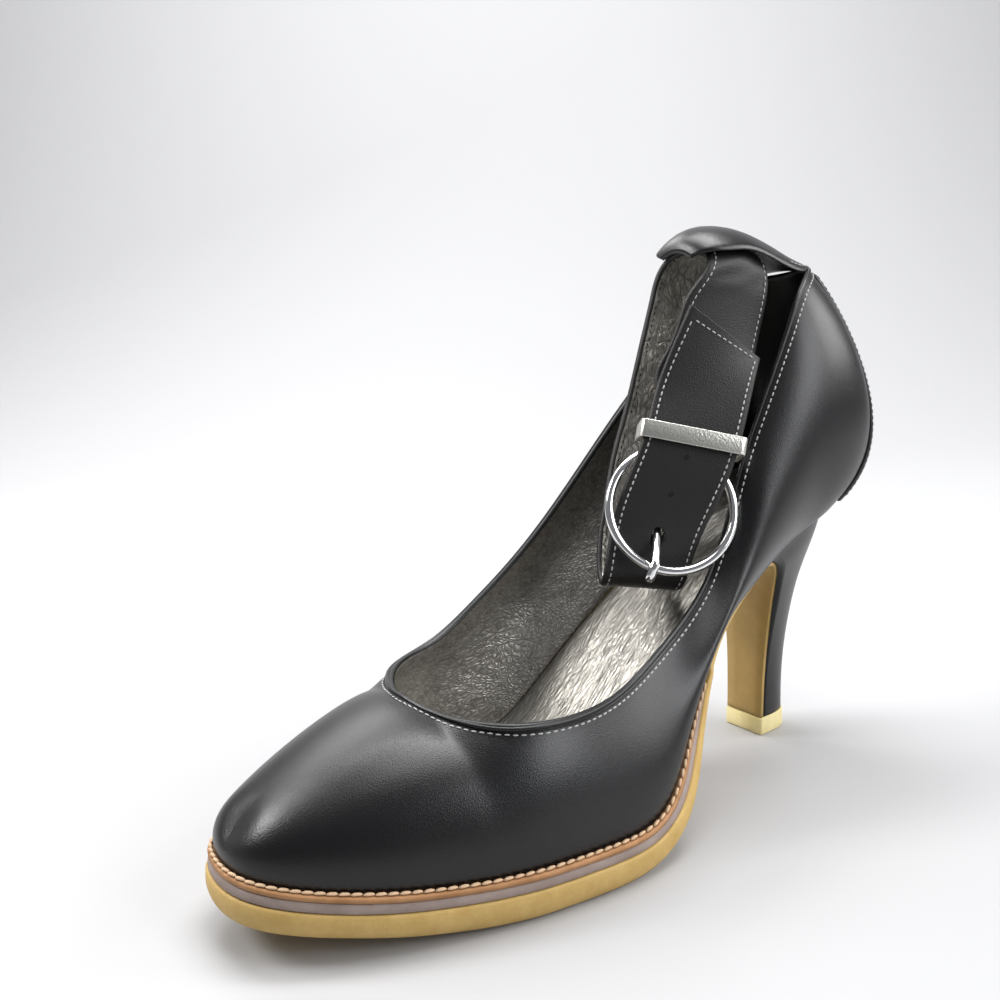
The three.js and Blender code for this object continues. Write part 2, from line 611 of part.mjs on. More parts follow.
function breastMesh() {
  const front = [];
  const back = [];
  for (let i = 0; i <= 21; i++) {
    const place = 7 * i / 21;
    const [ax, az, left, right] = breastAt(place, 0);
    const [bx, bz] = breastAt(place, breastThick);
    const lay = tilted((place / 7) ** 2);
    front.push([[ax, left, az], [ax, -right, az]].map(lay));
    back.push([[bx, left, bz], [bx, -right, bz]].map(lay));
  }
  return slabFromGrids(front, back);
}

// a ribbon through hand-placed edges
function ribbon(sizes) {
  const mid = (row, c) => (row[c] + row[c + 3]) / 2;
  const places = [0];
  sizes.slice(1).forEach((row, i) => places.push(places[i] + Math.hypot(
    ...[0, 1, 2].map((c) => mid(row, c) - mid(sizes[i], c)))));
  const curve = spline(places, sizes);
  const point = (place, across, depth) => {
    const row = curve(place);
    const before = curve(place - 0.4);
    const after = curve(place + 0.4);
    const along = new THREE.Vector3(...[0, 1, 2].map((c) => mid(after, c) - mid(before, c)));
    const wide = new THREE.Vector3(row[3] - row[0], row[4] - row[1], row[5] - row[2]);
    const normal = along.cross(wide).normalize();
    const t = (across + 1) / 2;
    const bulge = row[6] * (1 - across * across);
    return [0, 1, 2].map((c) => row[c] * (1 - t) + row[c + 3] * t + (bulge + depth) * normal.getComponent(c));
  };
  return { places, point };
}
const bandSizes = scaleRows(strapRows, [x, y, z, x, y, z, y]);
const band = ribbon(bandSizes);

// frame of the lateral band at the ring: along the band, across it, out of it
const ringPlace = band.places[17] - 1.5;
const bandCentre = new THREE.Vector3(...band.point(ringPlace, 0, 0));
const bandUp = new THREE.Vector3(...band.point(band.places[18], 0, 0)).sub(
  new THREE.Vector3(...band.point(band.places[16] + 3, 0, 0))).normalize();
const bandOut = new THREE.Vector3(...band.point(ringPlace, 0, 1)).sub(bandCentre);
bandOut.addScaledVector(bandUp, -bandOut.dot(bandUp)).normalize();
const bandWide = new THREE.Vector3().crossVectors(bandOut, bandUp);
const ringTilt = 17 * Math.PI / 180;
const ringCentre = bandCentre.clone().addScaledVector(bandOut, -0.5).addScaledVector(bandWide, -ringShift);
const ringUp = bandUp.clone().multiplyScalar(Math.cos(ringTilt)).addScaledVector(bandOut, -Math.sin(ringTilt));
const ringOut = new THREE.Vector3().crossVectors(ringUp, bandWide);
const ringSpot = (angle, extra) => ringCentre.clone()
  .addScaledVector(ringUp, (ringRadius + extra) * Math.cos(angle))
  .addScaledVector(bandWide, (ringRadius + extra) * Math.sin(angle));
const topWire = ringSpot(0, 0);
const lowWire = ringSpot(Math.PI, 0);
const outward = (point, up, out) => point.clone().addScaledVector(bandUp, up).addScaledVector(bandOut, out);

// the strap's end folds round the upper wire: out of the band, along it, half width
const foldRoom = ringWire + strapThick / 2 + 0.85;
const foldRows = [
  [-foldRoom, -1.7, 5], [-0.67 * foldRoom, -4, 5], [0.1, -foldRoom - 1.5, 5],
  [foldRoom, 0.9, 5], [foldRoom - 0.1, 8, 6.2]];
const foldSizes = foldRows.map(([out, up, half]) => {
  const centre = outward(topWire, up, out).addScaledVector(bandWide, 0.3);
  const edge = (sign) => centre.clone().addScaledVector(bandWide, sign * half).toArray();
  return [...edge(-1), ...edge(1), 0];
});
const strap = ribbon([...foldSizes, ...bandSizes]);
function strapMesh() {
  const places = [];
  for (let i = 0; i < strap.places.length - 1; i++) {
    const length = strap.places[i + 1] - strap.places[i];
    const steps = length > 14 ? 3 : 2;
    for (let k = 0; k < steps; k++) places.push(strap.places[i] + length * k / steps);
  }
  places.push(strap.places[strap.places.length - 1]);
  const acrossSteps = [-1, -0.5, 0, 0.5, 1];
  const layer = (depth) => places.map((place) => acrossSteps.map((a) => strap.point(place, a, depth)));
  return slabFromGrids(layer(strapThick / 2), layer(-strapThick / 2));
}

// a round rod through points, closed or with flat ends
function rod(points, radius, sides, closed) {
  const count = points.length;
  const rings = points.map((point, i) => {
    const before = points[closed ? (i + count - 1) % count : Math.max(0, i - 1)];
    const after = points[closed ? (i + 1) % count : Math.min(count - 1, i + 1)];
    const along = after.clone().sub(before).normalize();
    const side = closed ? ringOut.clone() : bandWide.clone();
    side.addScaledVector(along, -side.dot(along)).normalize();
    const other = new THREE.Vector3().crossVectors(along, side);
    return Array.from({ length: sides }, (unused, k) => {
      const angle = 2 * Math.PI * k / sides;
      return point.clone().addScaledVector(side, radius[i % radius.length] * Math.cos(angle))
        .addScaledVector(other, radius[i % radius.length] * Math.sin(angle)).toArray();
    });
  });
  const list = [];
  for (let i = 0; i < (closed ? count : count - 1); i++) {
    const [a, b] = [rings[i], rings[(i + 1) % count]];
    for (let k = 0; k < sides; k++) {
      const next = (k + 1) % sides;
      quad(list, a[k], a[next], b[next], b[k]);
    }
  }
  if (!closed) {
    for (const [ring, flip] of [[rings[0], true], [rings[count - 1], false]]) {
      for (let k = 1; k < sides - 1; k++) {
        if (flip) list.push(ring[0], ring[k + 1], ring[k]);
        else list.push(ring[0], ring[k], ring[k + 1]);
      }
    }
  }
  return list;
}
const ringMesh = () => rod(
  Array.from({ length: 44 }, (unused, i) => ringSpot(2 * Math.PI * i / 44, 0)), [ringWire], 8, true);
// the prong hooks over the top of the ring, lies behind the band and comes out through its hole
const hookWire = 0.5;
const hook = ringWire + hookWire + 0.15;
const prongPoints = [];
for (let i = 0; i <= 5; i++) {
  const angle = (-100 + 190 * i / 5) * Math.PI / 180;
  prongPoints.push(topWire.clone().addScaledVector(bandUp, hook * Math.cos(angle))
    .addScaledVector(bandOut, hook * Math.sin(angle)));
}
const lowOut = ringWire + prongWire + 0.25;
const behind = bandCentre.clone().addScaledVector(bandOut, -(strapThick / 2 + prongWire + 0.7));
const lowAlong = lowWire.clone().sub(bandCentre).dot(bandUp);
prongPoints.push(outward(behind, lowAlong + 15, 0), outward(behind, lowAlong + 12, 0));
prongPoints.push(outward(lowWire, 1.6, lowOut), outward(lowWire, 0, lowOut + 0.1));
prongPoints.push(outward(lowWire, -2, lowOut - 0.2), outward(lowWire, -4.2, lowOut - 1));
const prongMesh = () => rod(
  prongPoints, prongPoints.map((point, i) => (i < 6 ? hookWire : prongWire)), 8, false);

// the keeper: a flat loop round both layers above the ring
function keeperMesh() {
  const place = band.places[18] + 4.2;
  const centre = new THREE.Vector3(...band.point(place, 0, 0));
  const wide = new THREE.Vector3(...band.point(place, 1, 0)).sub(new THREE.Vector3(...band.point(place, -1, 0)));
  const halfWidth = wide.length() / 2 + 0.9;
  wide.normalize();
  const out = new THREE.Vector3(...band.point(place, 0, 1)).sub(centre).normalize();
  const up = new THREE.Vector3().crossVectors(wide, out).negate().normalize();
  if (up.z < 0) up.negate();
  const front = strapThick / 2 + 0.9;
  const back = -8.9;
  const loop = (grow, height) => {
    const corners = [];
    const round = 0.9 + grow;
    const spots = [
      [halfWidth + grow, front + grow, 0], [-halfWidth - grow, front + grow, 1],
      [-halfWidth - grow, back - grow, 2], [halfWidth + grow, back - grow, 3]];
    for (const [a, b, turn] of spots) {
      const ca = a - Math.sign(a) * round;
      const cb = b - Math.sign(b - (front + back) / 2) * round;
      for (let i = 0; i <= 2; i++) {
        const angle = (turn + i / 2) * Math.PI / 2;
        corners.push(centre.clone().addScaledVector(wide, ca + round * Math.cos(angle))
          .addScaledVector(out, cb + round * Math.sin(angle)).addScaledVector(up, height).toArray());
      }
    }
    return corners;
  };
  const rings = [
    loop(0, -keeperHeight / 2), loop(keeperWall, -keeperHeight / 2),
    loop(keeperWall, keeperHeight / 2), loop(0, keeperHeight / 2)];
  const list = [];
  for (let k = 0; k < 4; k++) {
    const [a, b] = [rings[k], rings[(k + 1) % 4]];
    for (let i = 0; i < a.length; i++) {
      const next = (i + 1) % a.length;
      quad(list, a[i], a[next], b[next], b[i]);
    }
  }
  return list;
}

// the tongue runs from the top of the back over the strap
const tongueSizes = scaleRows(tongueRows, [x, z, y, z]);
const tongueThick = 1.5;
function tongueMesh() {
  const layer = (depth) => tongueSizes.map(([px, pz, half, fall], i) => {
    const before = tongueSizes[Math.max(0, i - 1)];
    const after = tongueSizes[Math.min(tongueSizes.length - 1, i + 1)];
    const length = Math.hypot(after[0] - before[0], after[1] - before[1]);
    const nx = -(after[1] - before[1]) / length;
    const nz = (after[0] - before[0]) / length;
    return [-1, -0.8, -0.5, 0, 0.5, 0.8, 1].map((a) => {
      const side = Math.hypot(half, 2 * fall * a);
      return [px - nx * depth, a * half - depth * 2 * fall * a / side, pz - fall * a * a - nz * depth * half / side];
    });
  });
  return slabFromGrids(layer(0), layer(tongueThick));
}

// cuts in the strap for the prong
function toManifold(mesh) {
  const spots = mesh.geometry.attributes.position;
  return new wasm.Manifold(new wasm.Mesh({
    numProp: 3,
    vertProperties: new Float32Array(spots.array),
    triVerts: new Uint32Array(mesh.geometry.index.array),
  }));
}
function strapWithCuts() {
  const mesh = solid("ankle_strap", strapMesh(), 0x17171b, 0.45, 0);
  const from = outward(behind, lowAlong + 13.5, 0);
  const to = outward(lowWire, 0.5, lowOut);
  const slot = solid("slot", rod([from, to], [prongWire + 0.8], 10, false), 0, 1, 0);
  const half = prongWire + 0.55;
  const box = [];
  for (const up of [-6.5, 4.6]) {
    for (const out of [-5, hook + hookWire + 1]) {
      for (const wide of [-half, half]) {
        box.push(outward(topWire, up, out).addScaledVector(bandWide, wide).toArray());
      }
    }
  }
  const notch = wasm.Manifold.hull(box);
  const cut = toManifold(mesh).subtract(toManifold(slot)).subtract(notch).getMesh();
  const geometry = new THREE.BufferGeometry();
  geometry.setAttribute("position", new THREE.BufferAttribute(new Float32Array(cut.vertProperties), 3));
  geometry.setIndex([...cut.triVerts]);
  geometry.computeVertexNormals();
  const result = new THREE.Mesh(geometry, mesh.material);
  result.name = mesh.name;
  return result;
}

const stackAt = (place) => bedAt(place).stack;
const thin = (place) => ease(place, 0.294 * x, 0.467 * x);
const weltDrop = (place) => 0.6 + (weltThick - 0.6) * thin(place);
const midTop = (place) => weltDrop(place) + fitGap;
const midDrop = (place) => midTop(place) + 0.5 + (midsoleThick - 0.5) * thin(place);
const outTop = (place) => (place > 0.32 * x ? midDrop(place) + fitGap : 0);
const forefoot = [0, 0.35, 0.7, 1.05];
for (let u = 1.5; u < 14.1; u += 0.5) forefoot.push(u);
const whole = [...forefoot, 14.4, 14.6, 15, 15.5, 16, 16.5, 17, 17.15];
const sockPlaces = [...forefoot, 14.4, 14.6];
for (let u = 15; u < 20.9; u += 0.5) sockPlaces.push(u);
sockPlaces.push(21, 21.35, 21.68, 22);
const sockInset = upperWall + fitGap + 0.15;
const constant = (value) => () => value;
const roundEdge = 1.4;

const pump = new THREE.Group();
pump.name = "ankle_strap_pump";
pump.add(
  solid("upper", upperMesh(), 0x17171b, 0.45, 0),
  solid("counter", counterMesh(), 0x17171b, 0.45, 0),
  solid("back_tongue", tongueMesh(), 0x17171b, 0.45, 0),
  solid("insole", plate(upperLateral, upperMedial, sockPlaces, [
    [sockInset, constant(-fitGap - sockThick)], [sockInset, constant(-fitGap)]]), 0x6f675c, 0.4, 0.5),
  solid("welt", plate(soleLateral, soleMedial, forefoot, [
    [0.3, constant(0)], [0, (p) => weltDrop(p) * 0.5], [0.2, weltDrop]]), 0xb9753c, 0.6, 0),
  solid("midsole", plate(soleLateral, soleMedial, forefoot, [
    [0.5, midTop], [0.5, midDrop]]), 0xb9aca4, 0.7, 0),
  solid("outsole", plate(soleLateral, soleMedial, whole, [
    [0.3, outTop], [0, (p) => outTop(p) + Math.min(0.8, 0.3 * (stackAt(p) - outTop(p)))],
    [0.5, (p) => stackAt(p) - Math.min(3.2, 0.4 * (stackAt(p) - outTop(p)))],
    [1.1, (p) => stackAt(p) - Math.min(1.5, 0.2 * (stackAt(p) - outTop(p)))],
    [2.1, (p) => stackAt(p) - Math.min(0.45, 0.07 * (stackAt(p) - outTop(p)))],
    [2.1 + roundEdge, stackAt]]), 0xcf9a3a, 0.8, 0),
  solid("heel", heelMesh(), 0x17171b, 0.45, 0),
  solid("heel_breast", breastMesh(), 0xc08f3c, 0.7, 0),
  solid("top_lift", liftMesh(), 0xe8dfb0, 0.6, 0),
  strapWithCuts(),
  solid("buckle_ring", ringMesh(), 0xd8d8d8, 0.1, 1),
  solid("buckle_prong", prongMesh(), 0xd8d8d8, 0.12, 1),
  solid("keeper", keeperMesh(), 0xcfcdc6, 0.35, 1),
);

export default pump;
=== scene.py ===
import math

import bmesh
import bpy
import numpy as np
from mathutils import Matrix, Vector
from mathutils.bvhtree import BVHTree


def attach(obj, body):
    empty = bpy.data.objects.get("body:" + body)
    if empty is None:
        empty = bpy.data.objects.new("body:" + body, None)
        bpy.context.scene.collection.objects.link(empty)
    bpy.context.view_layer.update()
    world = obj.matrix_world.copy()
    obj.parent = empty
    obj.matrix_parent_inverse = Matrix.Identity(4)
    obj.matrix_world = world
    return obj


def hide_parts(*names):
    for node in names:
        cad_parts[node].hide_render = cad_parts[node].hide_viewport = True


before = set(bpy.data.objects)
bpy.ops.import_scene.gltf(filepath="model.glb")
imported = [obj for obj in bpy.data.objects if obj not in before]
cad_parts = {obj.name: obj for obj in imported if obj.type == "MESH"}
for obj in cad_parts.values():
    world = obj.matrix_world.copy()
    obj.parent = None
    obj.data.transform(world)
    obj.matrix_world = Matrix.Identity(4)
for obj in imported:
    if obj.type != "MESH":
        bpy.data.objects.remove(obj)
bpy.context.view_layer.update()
scene = bpy.context.scene
print("frame loaded")

# the shoe's own sizes in millimetres, as in the part's source
pump = {"upperWall": 1.9, "gap": 0.3, "sockThick": 1.8, "strapThick": 2.2,
        "ringRadius": 18.55, "ringWire": 1.35, "ringShift": 2.0, "ringTilt": 17.0, "liftHeight": 6.3,
        "weltThick": 1.4, "midsoleThick": 2.4}
# where the bed turns, leans and thins, by x
bedMake = {"turn": 0.13, "turnFrom": (17.9, 50), "turnTo": (103, 132), "leanOuter": 0.22, "leanInner": 0.11,
           "leanTo": (28, 62), "thinTo": (57.9, 92), "outsoleFrom": 63.04}
throatRow = 6
lastRow = 22
ringEnd = 44

# x, height of the bed, thickness of the sole stack, on the centre line
bedRows = [
    (197, 21.2, 11.5),
    (186, 18.9, 11.4),
    (172, 16.55, 11.3),
    (156, 14.5, 11.9),
    (140, 13.23, 12.5),
    (128, 12.77, 12.7),
    (119, 12.7, 12.7),
    (108.5, 12.7, 12.7),
    (100, 13.6, 12.5),
    (92.2, 16.5, 11.8),
    (84.6, 22, 10.1),
    (73.6, 33.7, 7.4),
    (61.5, 46.6, 4.8),
    (52.6, 54.6, 3.5),
    (42.4, 62.2, 2.8),
    (34.1, 67, 2.5),
    (26.1, 70.8, 2.4),
    (10, 77.6, 2.4),
    (-8, 84.5, 2.4),
    (-24.5, 90.9, 2.4),
]
# sole edge x, lateral y, medial y, upper edge x, lateral y, medial y
edgeRows = [
    (196.6, 3.5, 3.5, 195, 3.5, 3.5),
    (194.4, 14, -8.3, 193.2, 12.8, -7.2),
    (188.1, 22, -15.2, 187.3, 20.4, -14),
    (178, 29.2, -21.7, 177.3, 27.4, -20.6),
    (165, 35.7, -27.2, 164.5, 33.7, -25.7),
    (152, 40.1, -30.7, 152, 38.1, -28.5),
    (143, 42.8, -32.6, 143, 40.8, -30.4),
    (139, 43.8, -33.2, 139, 41.8, -31),
    (133, 45.2, -34, 133, 43.1, -31.8),
    (124.5, 46.8, -34.6, 124.5, 44.7, -32.4),
    (112, 48.3, -33.8, 112, 46.2, -31.5),
    (100, 47.8, -31.4, 100, 45.9, -29.4),
    (88.5, 44.6, -28.2, 88.5, 43, -26.6),
    (77.5, 39, -24.6, 77.5, 38, -23.6),
    (66.5, 33.8, -21, 66.5, 33.8, -20.4),
    (55, 29.6, -17.4, 55, 30, -17.3),
    (43, 26.4, -15, 43, 27.2, -15.2),
    (31, 24.2, -14.2, 31, 25.2, -14.8),
    (19, 22.4, -15.6, 19, 23.8, -16.2),
    (6.5, 21.6, -18, 6.5, 22.8, -19),
    (-6.5, 20.6, -18.6, -6.5, 22.8, -20),
    (-18.5, 15.2, -13.8, -19.6, 16.6, -14.8),
    (-23.6, 0, 0, -25.2, 0, 0),
]
# topline x, y, z, lower handle x, out, up, upper handle x, out, down
lateralRows = [
    (190.8, 3.5, 29, 1.2, 0, 4.6, 2, 0, 2.6),
    (186, 3.5, 33.6, 0.5, 1.4, 8.2, 1.4, 6.5, 1.1),
    (179, 3.5, 38.1, 0.3, 2, 12, 0.8, 11, 0.5),
    (169.5, 3.5, 42.7, 0, 2.2, 15.5, 0.4, 15, 0.1),
    (158, 3.5, 47.1, 0, 2.4, 19, 0, 20, 0),
    (147.5, 3.5, 49.4, 0, 2.5, 20.5, 0, 23.5, 0),
    (142.3, 3.5, 48.8, 0, 2.5, 21, 0, 26.5, 0.5),
    (140.6, 14, 48, 0, 2.5, 16.8, 0, 19.5, 2),
    (135.5, 27, 47, 0, 2.5, 15.3, 0, 10, 4),
    (126, 35.6, 46.4, 0, 2.5, 14, 0, 5.6, 6.8),
    (111, 38, 46, 0, 2.6, 13, 0, 4.6, 9.5),
    (96, 35.4, 46.8, 0, 3, 12.5, 0, 5, 10),
    (84, 32.2, 49.6, 0, 4, 12, 0, 5.4, 10),
    (70.5, 28.8, 54.8, 0.5, 5.2, 10.5, 0, 6.4, 9),
    (57.8, 26.4, 62.4, 1, 6.6, 9.5, 0, 7.4, 8),
    (48.4, 24.2, 71.4, 0.5, 8, 10, 0, 9, 8.5),
    (40, 22.9, 85.2, 0, 8.5, 10.5, 0, 10, 10),
    (33.2, 22.5, 101, 0, 10, 13, 0, 10.6, 12.5),
    (24.2, 22.5, 118, -0.5, 11.5, 16, -0.5, 11, 15.5),
    (13.6, 22, 136.4, -1.5, 13, 19, -1.5, 12.6, 19),
    (3.2, 19.4, 150, -4.5, 15.5, 19, -5.5, 13.8, 20),
    (-8.6, 12, 155.8, -8.5, 15.3, 16, -9.3, 12, 18.5),
    (-12.2, 0, 154.8, -7.5, 0, 16.5, -8, 0, 19),
]
medialRows = [
    (190.8, 3.5, 29, 1.2, 0, 4.6, 2, 0, 2.6),
    (186, 3.5, 33.6, 0.9, 1.9, 8.2, 1.4, 5.6, 1.1),
    (179, 3.5, 38.1, 0.5, 2.3, 11.6, 0.8, 9.2, 0.5),
    (169.5, 3.5, 42.7, 0, 2.3, 15.2, 0.4, 12.6, 0.1),
    (158, 3.5, 47.1, 0, 2.3, 19.2, 0, 18.2, 0),
    (147.5, 3.5, 49.4, 0, 2.3, 22.6, 0, 23.5, 0),
    (142.3, 3.5, 48.8, 0, 2.3, 24, 0, 27, 0.3),
    (140.8, -6.5, 48.3, 0, 2.3, 19.8, 0, 19.9, 1.2),
    (135.3, -18.5, 48, 0, 2.3, 17.2, 0, 10.7, 2.8),
    (125.5, -26.8, 48, 0, 2.3, 14.5, 0, 4.8, 6.8),
    (112.5, -30, 50.4, 0, 2.6, 13.5, 0, 3.8, 9.5),
    (99.5, -30.8, 57.2, 0, 3.2, 13.5, 0, 3.6, 12),
    (87, -30.2, 66, 0, 4.2, 14, 0, 3.6, 14),
    (74.5, -29.4, 76.4, 0.5, 6.2, 15, 0, 4, 15),
    (62, -28.6, 88.6, 1, 9, 15, 0, 4.5, 16),
    (50, -27.6, 101.4, 0.5, 11.5, 15, 0, 5, 17),
    (39.5, -26.6, 112.6, 0, 13.3, 15.5, 0, 6, 17),
    (29.5, -25.4, 123, 0, 14.2, 16.5, 0, 7, 18),
    (20, -23.5, 133, -0.5, 14.3, 18, -0.5, 8, 19),
    (11, -20.8, 142, -1.5, 13.8, 19, -1.5, 10, 20),
    (2.6, -16.2, 149, -4, 13.8, 20, -5, 12, 20),
    (-6.8, -9.4, 153.2, -8, 13.3, 18, -9, 10.5, 18.5),
    (-12.2, 0, 154.8, -7.5, 0, 16.5, -8, 0, 19),
]
# breast x, z, half width lateral, medial
breastRows = [
    (8.3, 6.6, 7, 8.2),
    (7.9, 20, 7.3, 8.4),
    (7.9, 33, 8.6, 8.8),
    (8.5, 46.6, 11, 9.8),
    (10.2, 57, 14.2, 11.2),
    (13.3, 63.9, 17.4, 12.6),
    (19, 67.7, 20.4, 13.6),
    (26.6, 68.5, 23, 14.2),
]
# back of the heel x, z, half width lateral, medial
heelRows = [
    (-7, 6.6, 7.1, 8.4),
    (-7.1, 20, 7.4, 8.7),
    (-8.6, 37, 9, 9.6),
    (-11.6, 54.5, 12.2, 11.8),
    (-15, 66, 15.6, 14),
    (-18.6, 76.4, 18.8, 16.4),
    (-21.6, 84, 20.6, 17.8),
    (-23.5, 89.2, 21.8, 18.6),
    (-23.9, 90.3, 22, 18.8),
]
# strap: back edge x, y, z, front edge x, y, z, crown
strapRows = [
    (29.2, 20, 118, 50.5, 3.8, 123.6, 0),
    (20.8, 15.7, 129, 46, 5.5, 135.7, 0.4),
    (13.7, 13.2, 144.2, 40.7, 8.7, 150.5, 0.8),
    (11, 12, 153.6, 36, 10.8, 157, 0.8),
    (9.6, 8.8, 158, 33.4, 8.6, 160.6, 2.2),
    (8.8, 0.2, 160.2, 32.6, -0.4, 162.6, 3.4),
    (9, -8.6, 157.8, 32.8, -9, 160.2, 2.2),
    (9.4, -12.2, 153.2, 34, -11.8, 156.4, 0.8),
    (11, -12.4, 145, 36.4, -12.4, 149.6, 0.6),
    (16.4, -11.6, 127.8, 42.5, -11.8, 134, 0.4),
    (23.6, -10.4, 108.4, 49.9, -10.8, 116, 0.4),
    (32, -8.6, 92.2, 57.8, -8.8, 100.8, 0.5),
    (39, -5.2, 77.8, 64.8, -5.2, 86.8, 0.5),
    (44.8, -0.6, 67.4, 70.8, -1.4, 74.2, 0.5),
    (49.4, 6.8, 63.2, 74.4, 3.6, 67.4, 0.3),
    (52.4, 14.6, 63.4, 75.6, 6.6, 70.4, 0.4),
    (51.6, 19.2, 72.4, 72.9, 6.1, 79.1, 1.2),
    (46.8, 23.8, 88, 67.9, 6.5, 92.9, 0),
    (40.4, 25.9, 101.4, 61.7, 9.3, 108.2, 0),
    (31.3, 24, 119.1, 53.1, 7.6, 124.9, 0),
    (22.6, 19.4, 129.6, 44.6, 12.8, 146.8, 0),
]
# tongue x, z, half width, fall of the edges
tongueRows = [
    (-13.2, 156.4, 9.8, 0.5),
    (-9, 159.3, 13, 3.2),
    (-3, 162.2, 15.2, 6.6),
    (4, 165.6, 15.4, 8.4),
    (12, 168.4, 15, 8),
    (20, 170, 14.8, 7.4),
    (28, 170.1, 14.4, 7.4),
    (33.6, 168.4, 12.6, 5.8),
    (36.8, 165.6, 9.8, 3.8),
    (38, 162.4, 6, 1.8),
]


def spline(places, points):  # natural cubic through the rows
    places = np.asarray(places, float)
    points = np.asarray(points, float)
    if points.ndim == 1:
        points = points[:, None]
    count = len(places)
    h = np.diff(places)
    system = np.eye(count)
    right = np.zeros_like(points)
    for i in range(1, count - 1):
        system[i, i - 1:i + 2] = h[i - 1], 2 * (h[i - 1] + h[i]), h[i]
        right[i] = 6 * ((points[i + 1] - points[i]) / h[i] - (points[i] - points[i - 1]) / h[i - 1])
    second = np.linalg.solve(system, right)

    def at(place):
        place = np.atleast_1d(np.asarray(place, float))
        i = np.clip(np.searchsorted(places, place, side="right") - 1, 0, count - 2)
        step = places[i + 1] - places[i]
        b = ((place - places[i]) / step)[:, None]
        a = 1 - b
        bend = (a ** 3 - a) * second[i] + (b ** 3 - b) * second[i + 1]
        return a * points[i] + b * points[i + 1] + bend * (step ** 2)[:, None] / 6
    return at


def ease(value, low, high):
    t = np.clip((np.asarray(value, float) - low) / (high - low), 0, 1)
    return t * t * (3 - 2 * t)


def unit(rows):
    rows = np.asarray(rows, float)
    return rows / np.maximum(np.linalg.norm(rows, axis=-1, keepdims=True), 1e-9)


bedTable = np.array(bedRows, float)[::-1]
bedCurve = spline(bedTable[:, 0], bedTable[:, 1:])


def bedAt(place):
    row = bedCurve(place)
    slope = bedCurve(np.asarray(place) + 0.5)[:, 0] - bedCurve(np.asarray(place) - 0.5)[:, 0]
    length = np.hypot(1, slope)
    return row[:, 0], -slope / length, 1 / length


def twist(place):
    return bedMake["turn"] * ease(place, *bedMake["turnFrom"]) * (1 - ease(place, *bedMake["turnTo"]))


def lean(place, side):
    tilt = np.where(side > 0, bedMake["leanOuter"], bedMake["leanInner"])
    return -tilt * side * (1 - ease(place, *bedMake["leanTo"]))


def onBed(place, side, drop):
    place = np.asarray(place, float)
    side = np.asarray(side, float)
    height, nx, nz = bedAt(place)
    return np.stack([place - twist(place) * side - drop * nx, side, height - drop * nz + lean(place, side)], 1)


edgeTable = np.array(edgeRows, float)


def sideChain(rowsLeft, rowsRight):
    chain = [rowsRight[i] for i in (3, 2, 1)] + list(rowsLeft) + [rowsRight[lastRow - i] for i in (1, 2, 3)]
    return spline(np.arange(len(chain)) - 3, chain)


soleLateral = sideChain(edgeTable[:, [0, 1]], edgeTable[:, [0, 2]])
soleMedial = sideChain(edgeTable[:, [0, 2]], edgeTable[:, [0, 1]])
upperLateral = sideChain(edgeTable[:, [3, 4]], edgeTable[:, [3, 5]])
upperMedial = sideChain(edgeTable[:, [3, 5]], edgeTable[:, [3, 4]])


def handlesOf(rows, curve, sign):
    rows = np.array(rows, float)
    edge = curve(np.arange(lastRow + 1))
    foot = onBed(edge[:, 0], edge[:, 1], -pump["gap"])
    top = rows[:, :3]
    lower = foot + rows[:, 3:6] * [1, sign, 1]
    upper = top + rows[:, 6:9] * [1, sign, -1]
    return np.hstack([foot, lower, upper, top])


lateralHandles = handlesOf(lateralRows, upperLateral, 1)
medialHandles = handlesOf(medialRows, upperMedial, -1)
lowRing = np.vstack([lateralHandles[:, :6], medialHandles[lastRow - 1:0:-1, :6]])
lowCurve = spline(np.arange(-4, ringEnd + 5), [lowRing[i % ringEnd] for i in range(-4, ringEnd + 5)])
backCurve = spline(np.arange(throatRow, ringEnd - throatRow + 1), np.vstack(
    [lateralHandles[throatRow:, 6:], medialHandles[throatRow:lastRow, 6:][::-1]]))
toeCurve = spline(np.arange(-throatRow, throatRow + 1), np.vstack(
    [medialHandles[1:throatRow + 1, 6:][::-1], lateralHandles[:throatRow + 1, 6:]]))


def lastPoint(place, v):  # place runs round the foot from the toe, v from the sole to the topline
    place = np.atleast_1d(np.asarray(place, float)) % ringEnd
    v = np.broadcast_to(np.asarray(v, float), place.shape)[:, None]
    inToe = (place < throatRow) | (place > ringEnd - throatRow)
    toePlace = np.where(place < lastRow, place, place - ringEnd)
    top = np.where(inToe[:, None], toeCurve(np.clip(toePlace, -throatRow, throatRow)), backCurve(place))
    h = np.hstack([lowCurve(place), top])
    w = 1 - v
    return w ** 3 * h[:, :3] + 3 * w * w * v * h[:, 3:6] + 3 * w * v * v * h[:, 6:9] + v ** 3 * h[:, 9:]


def lastNormal(place, v):
    place = np.atleast_1d(np.asarray(place, float))
    v = np.broadcast_to(np.asarray(v, float), place.shape)
    along = lastPoint(place + 0.02, v) - lastPoint(place - 0.02, v)
    up = lastPoint(place, np.clip(v + 0.02, 0, 1)) - lastPoint(place, np.clip(v - 0.02, 0, 1))
    return unit(np.cross(along, up))


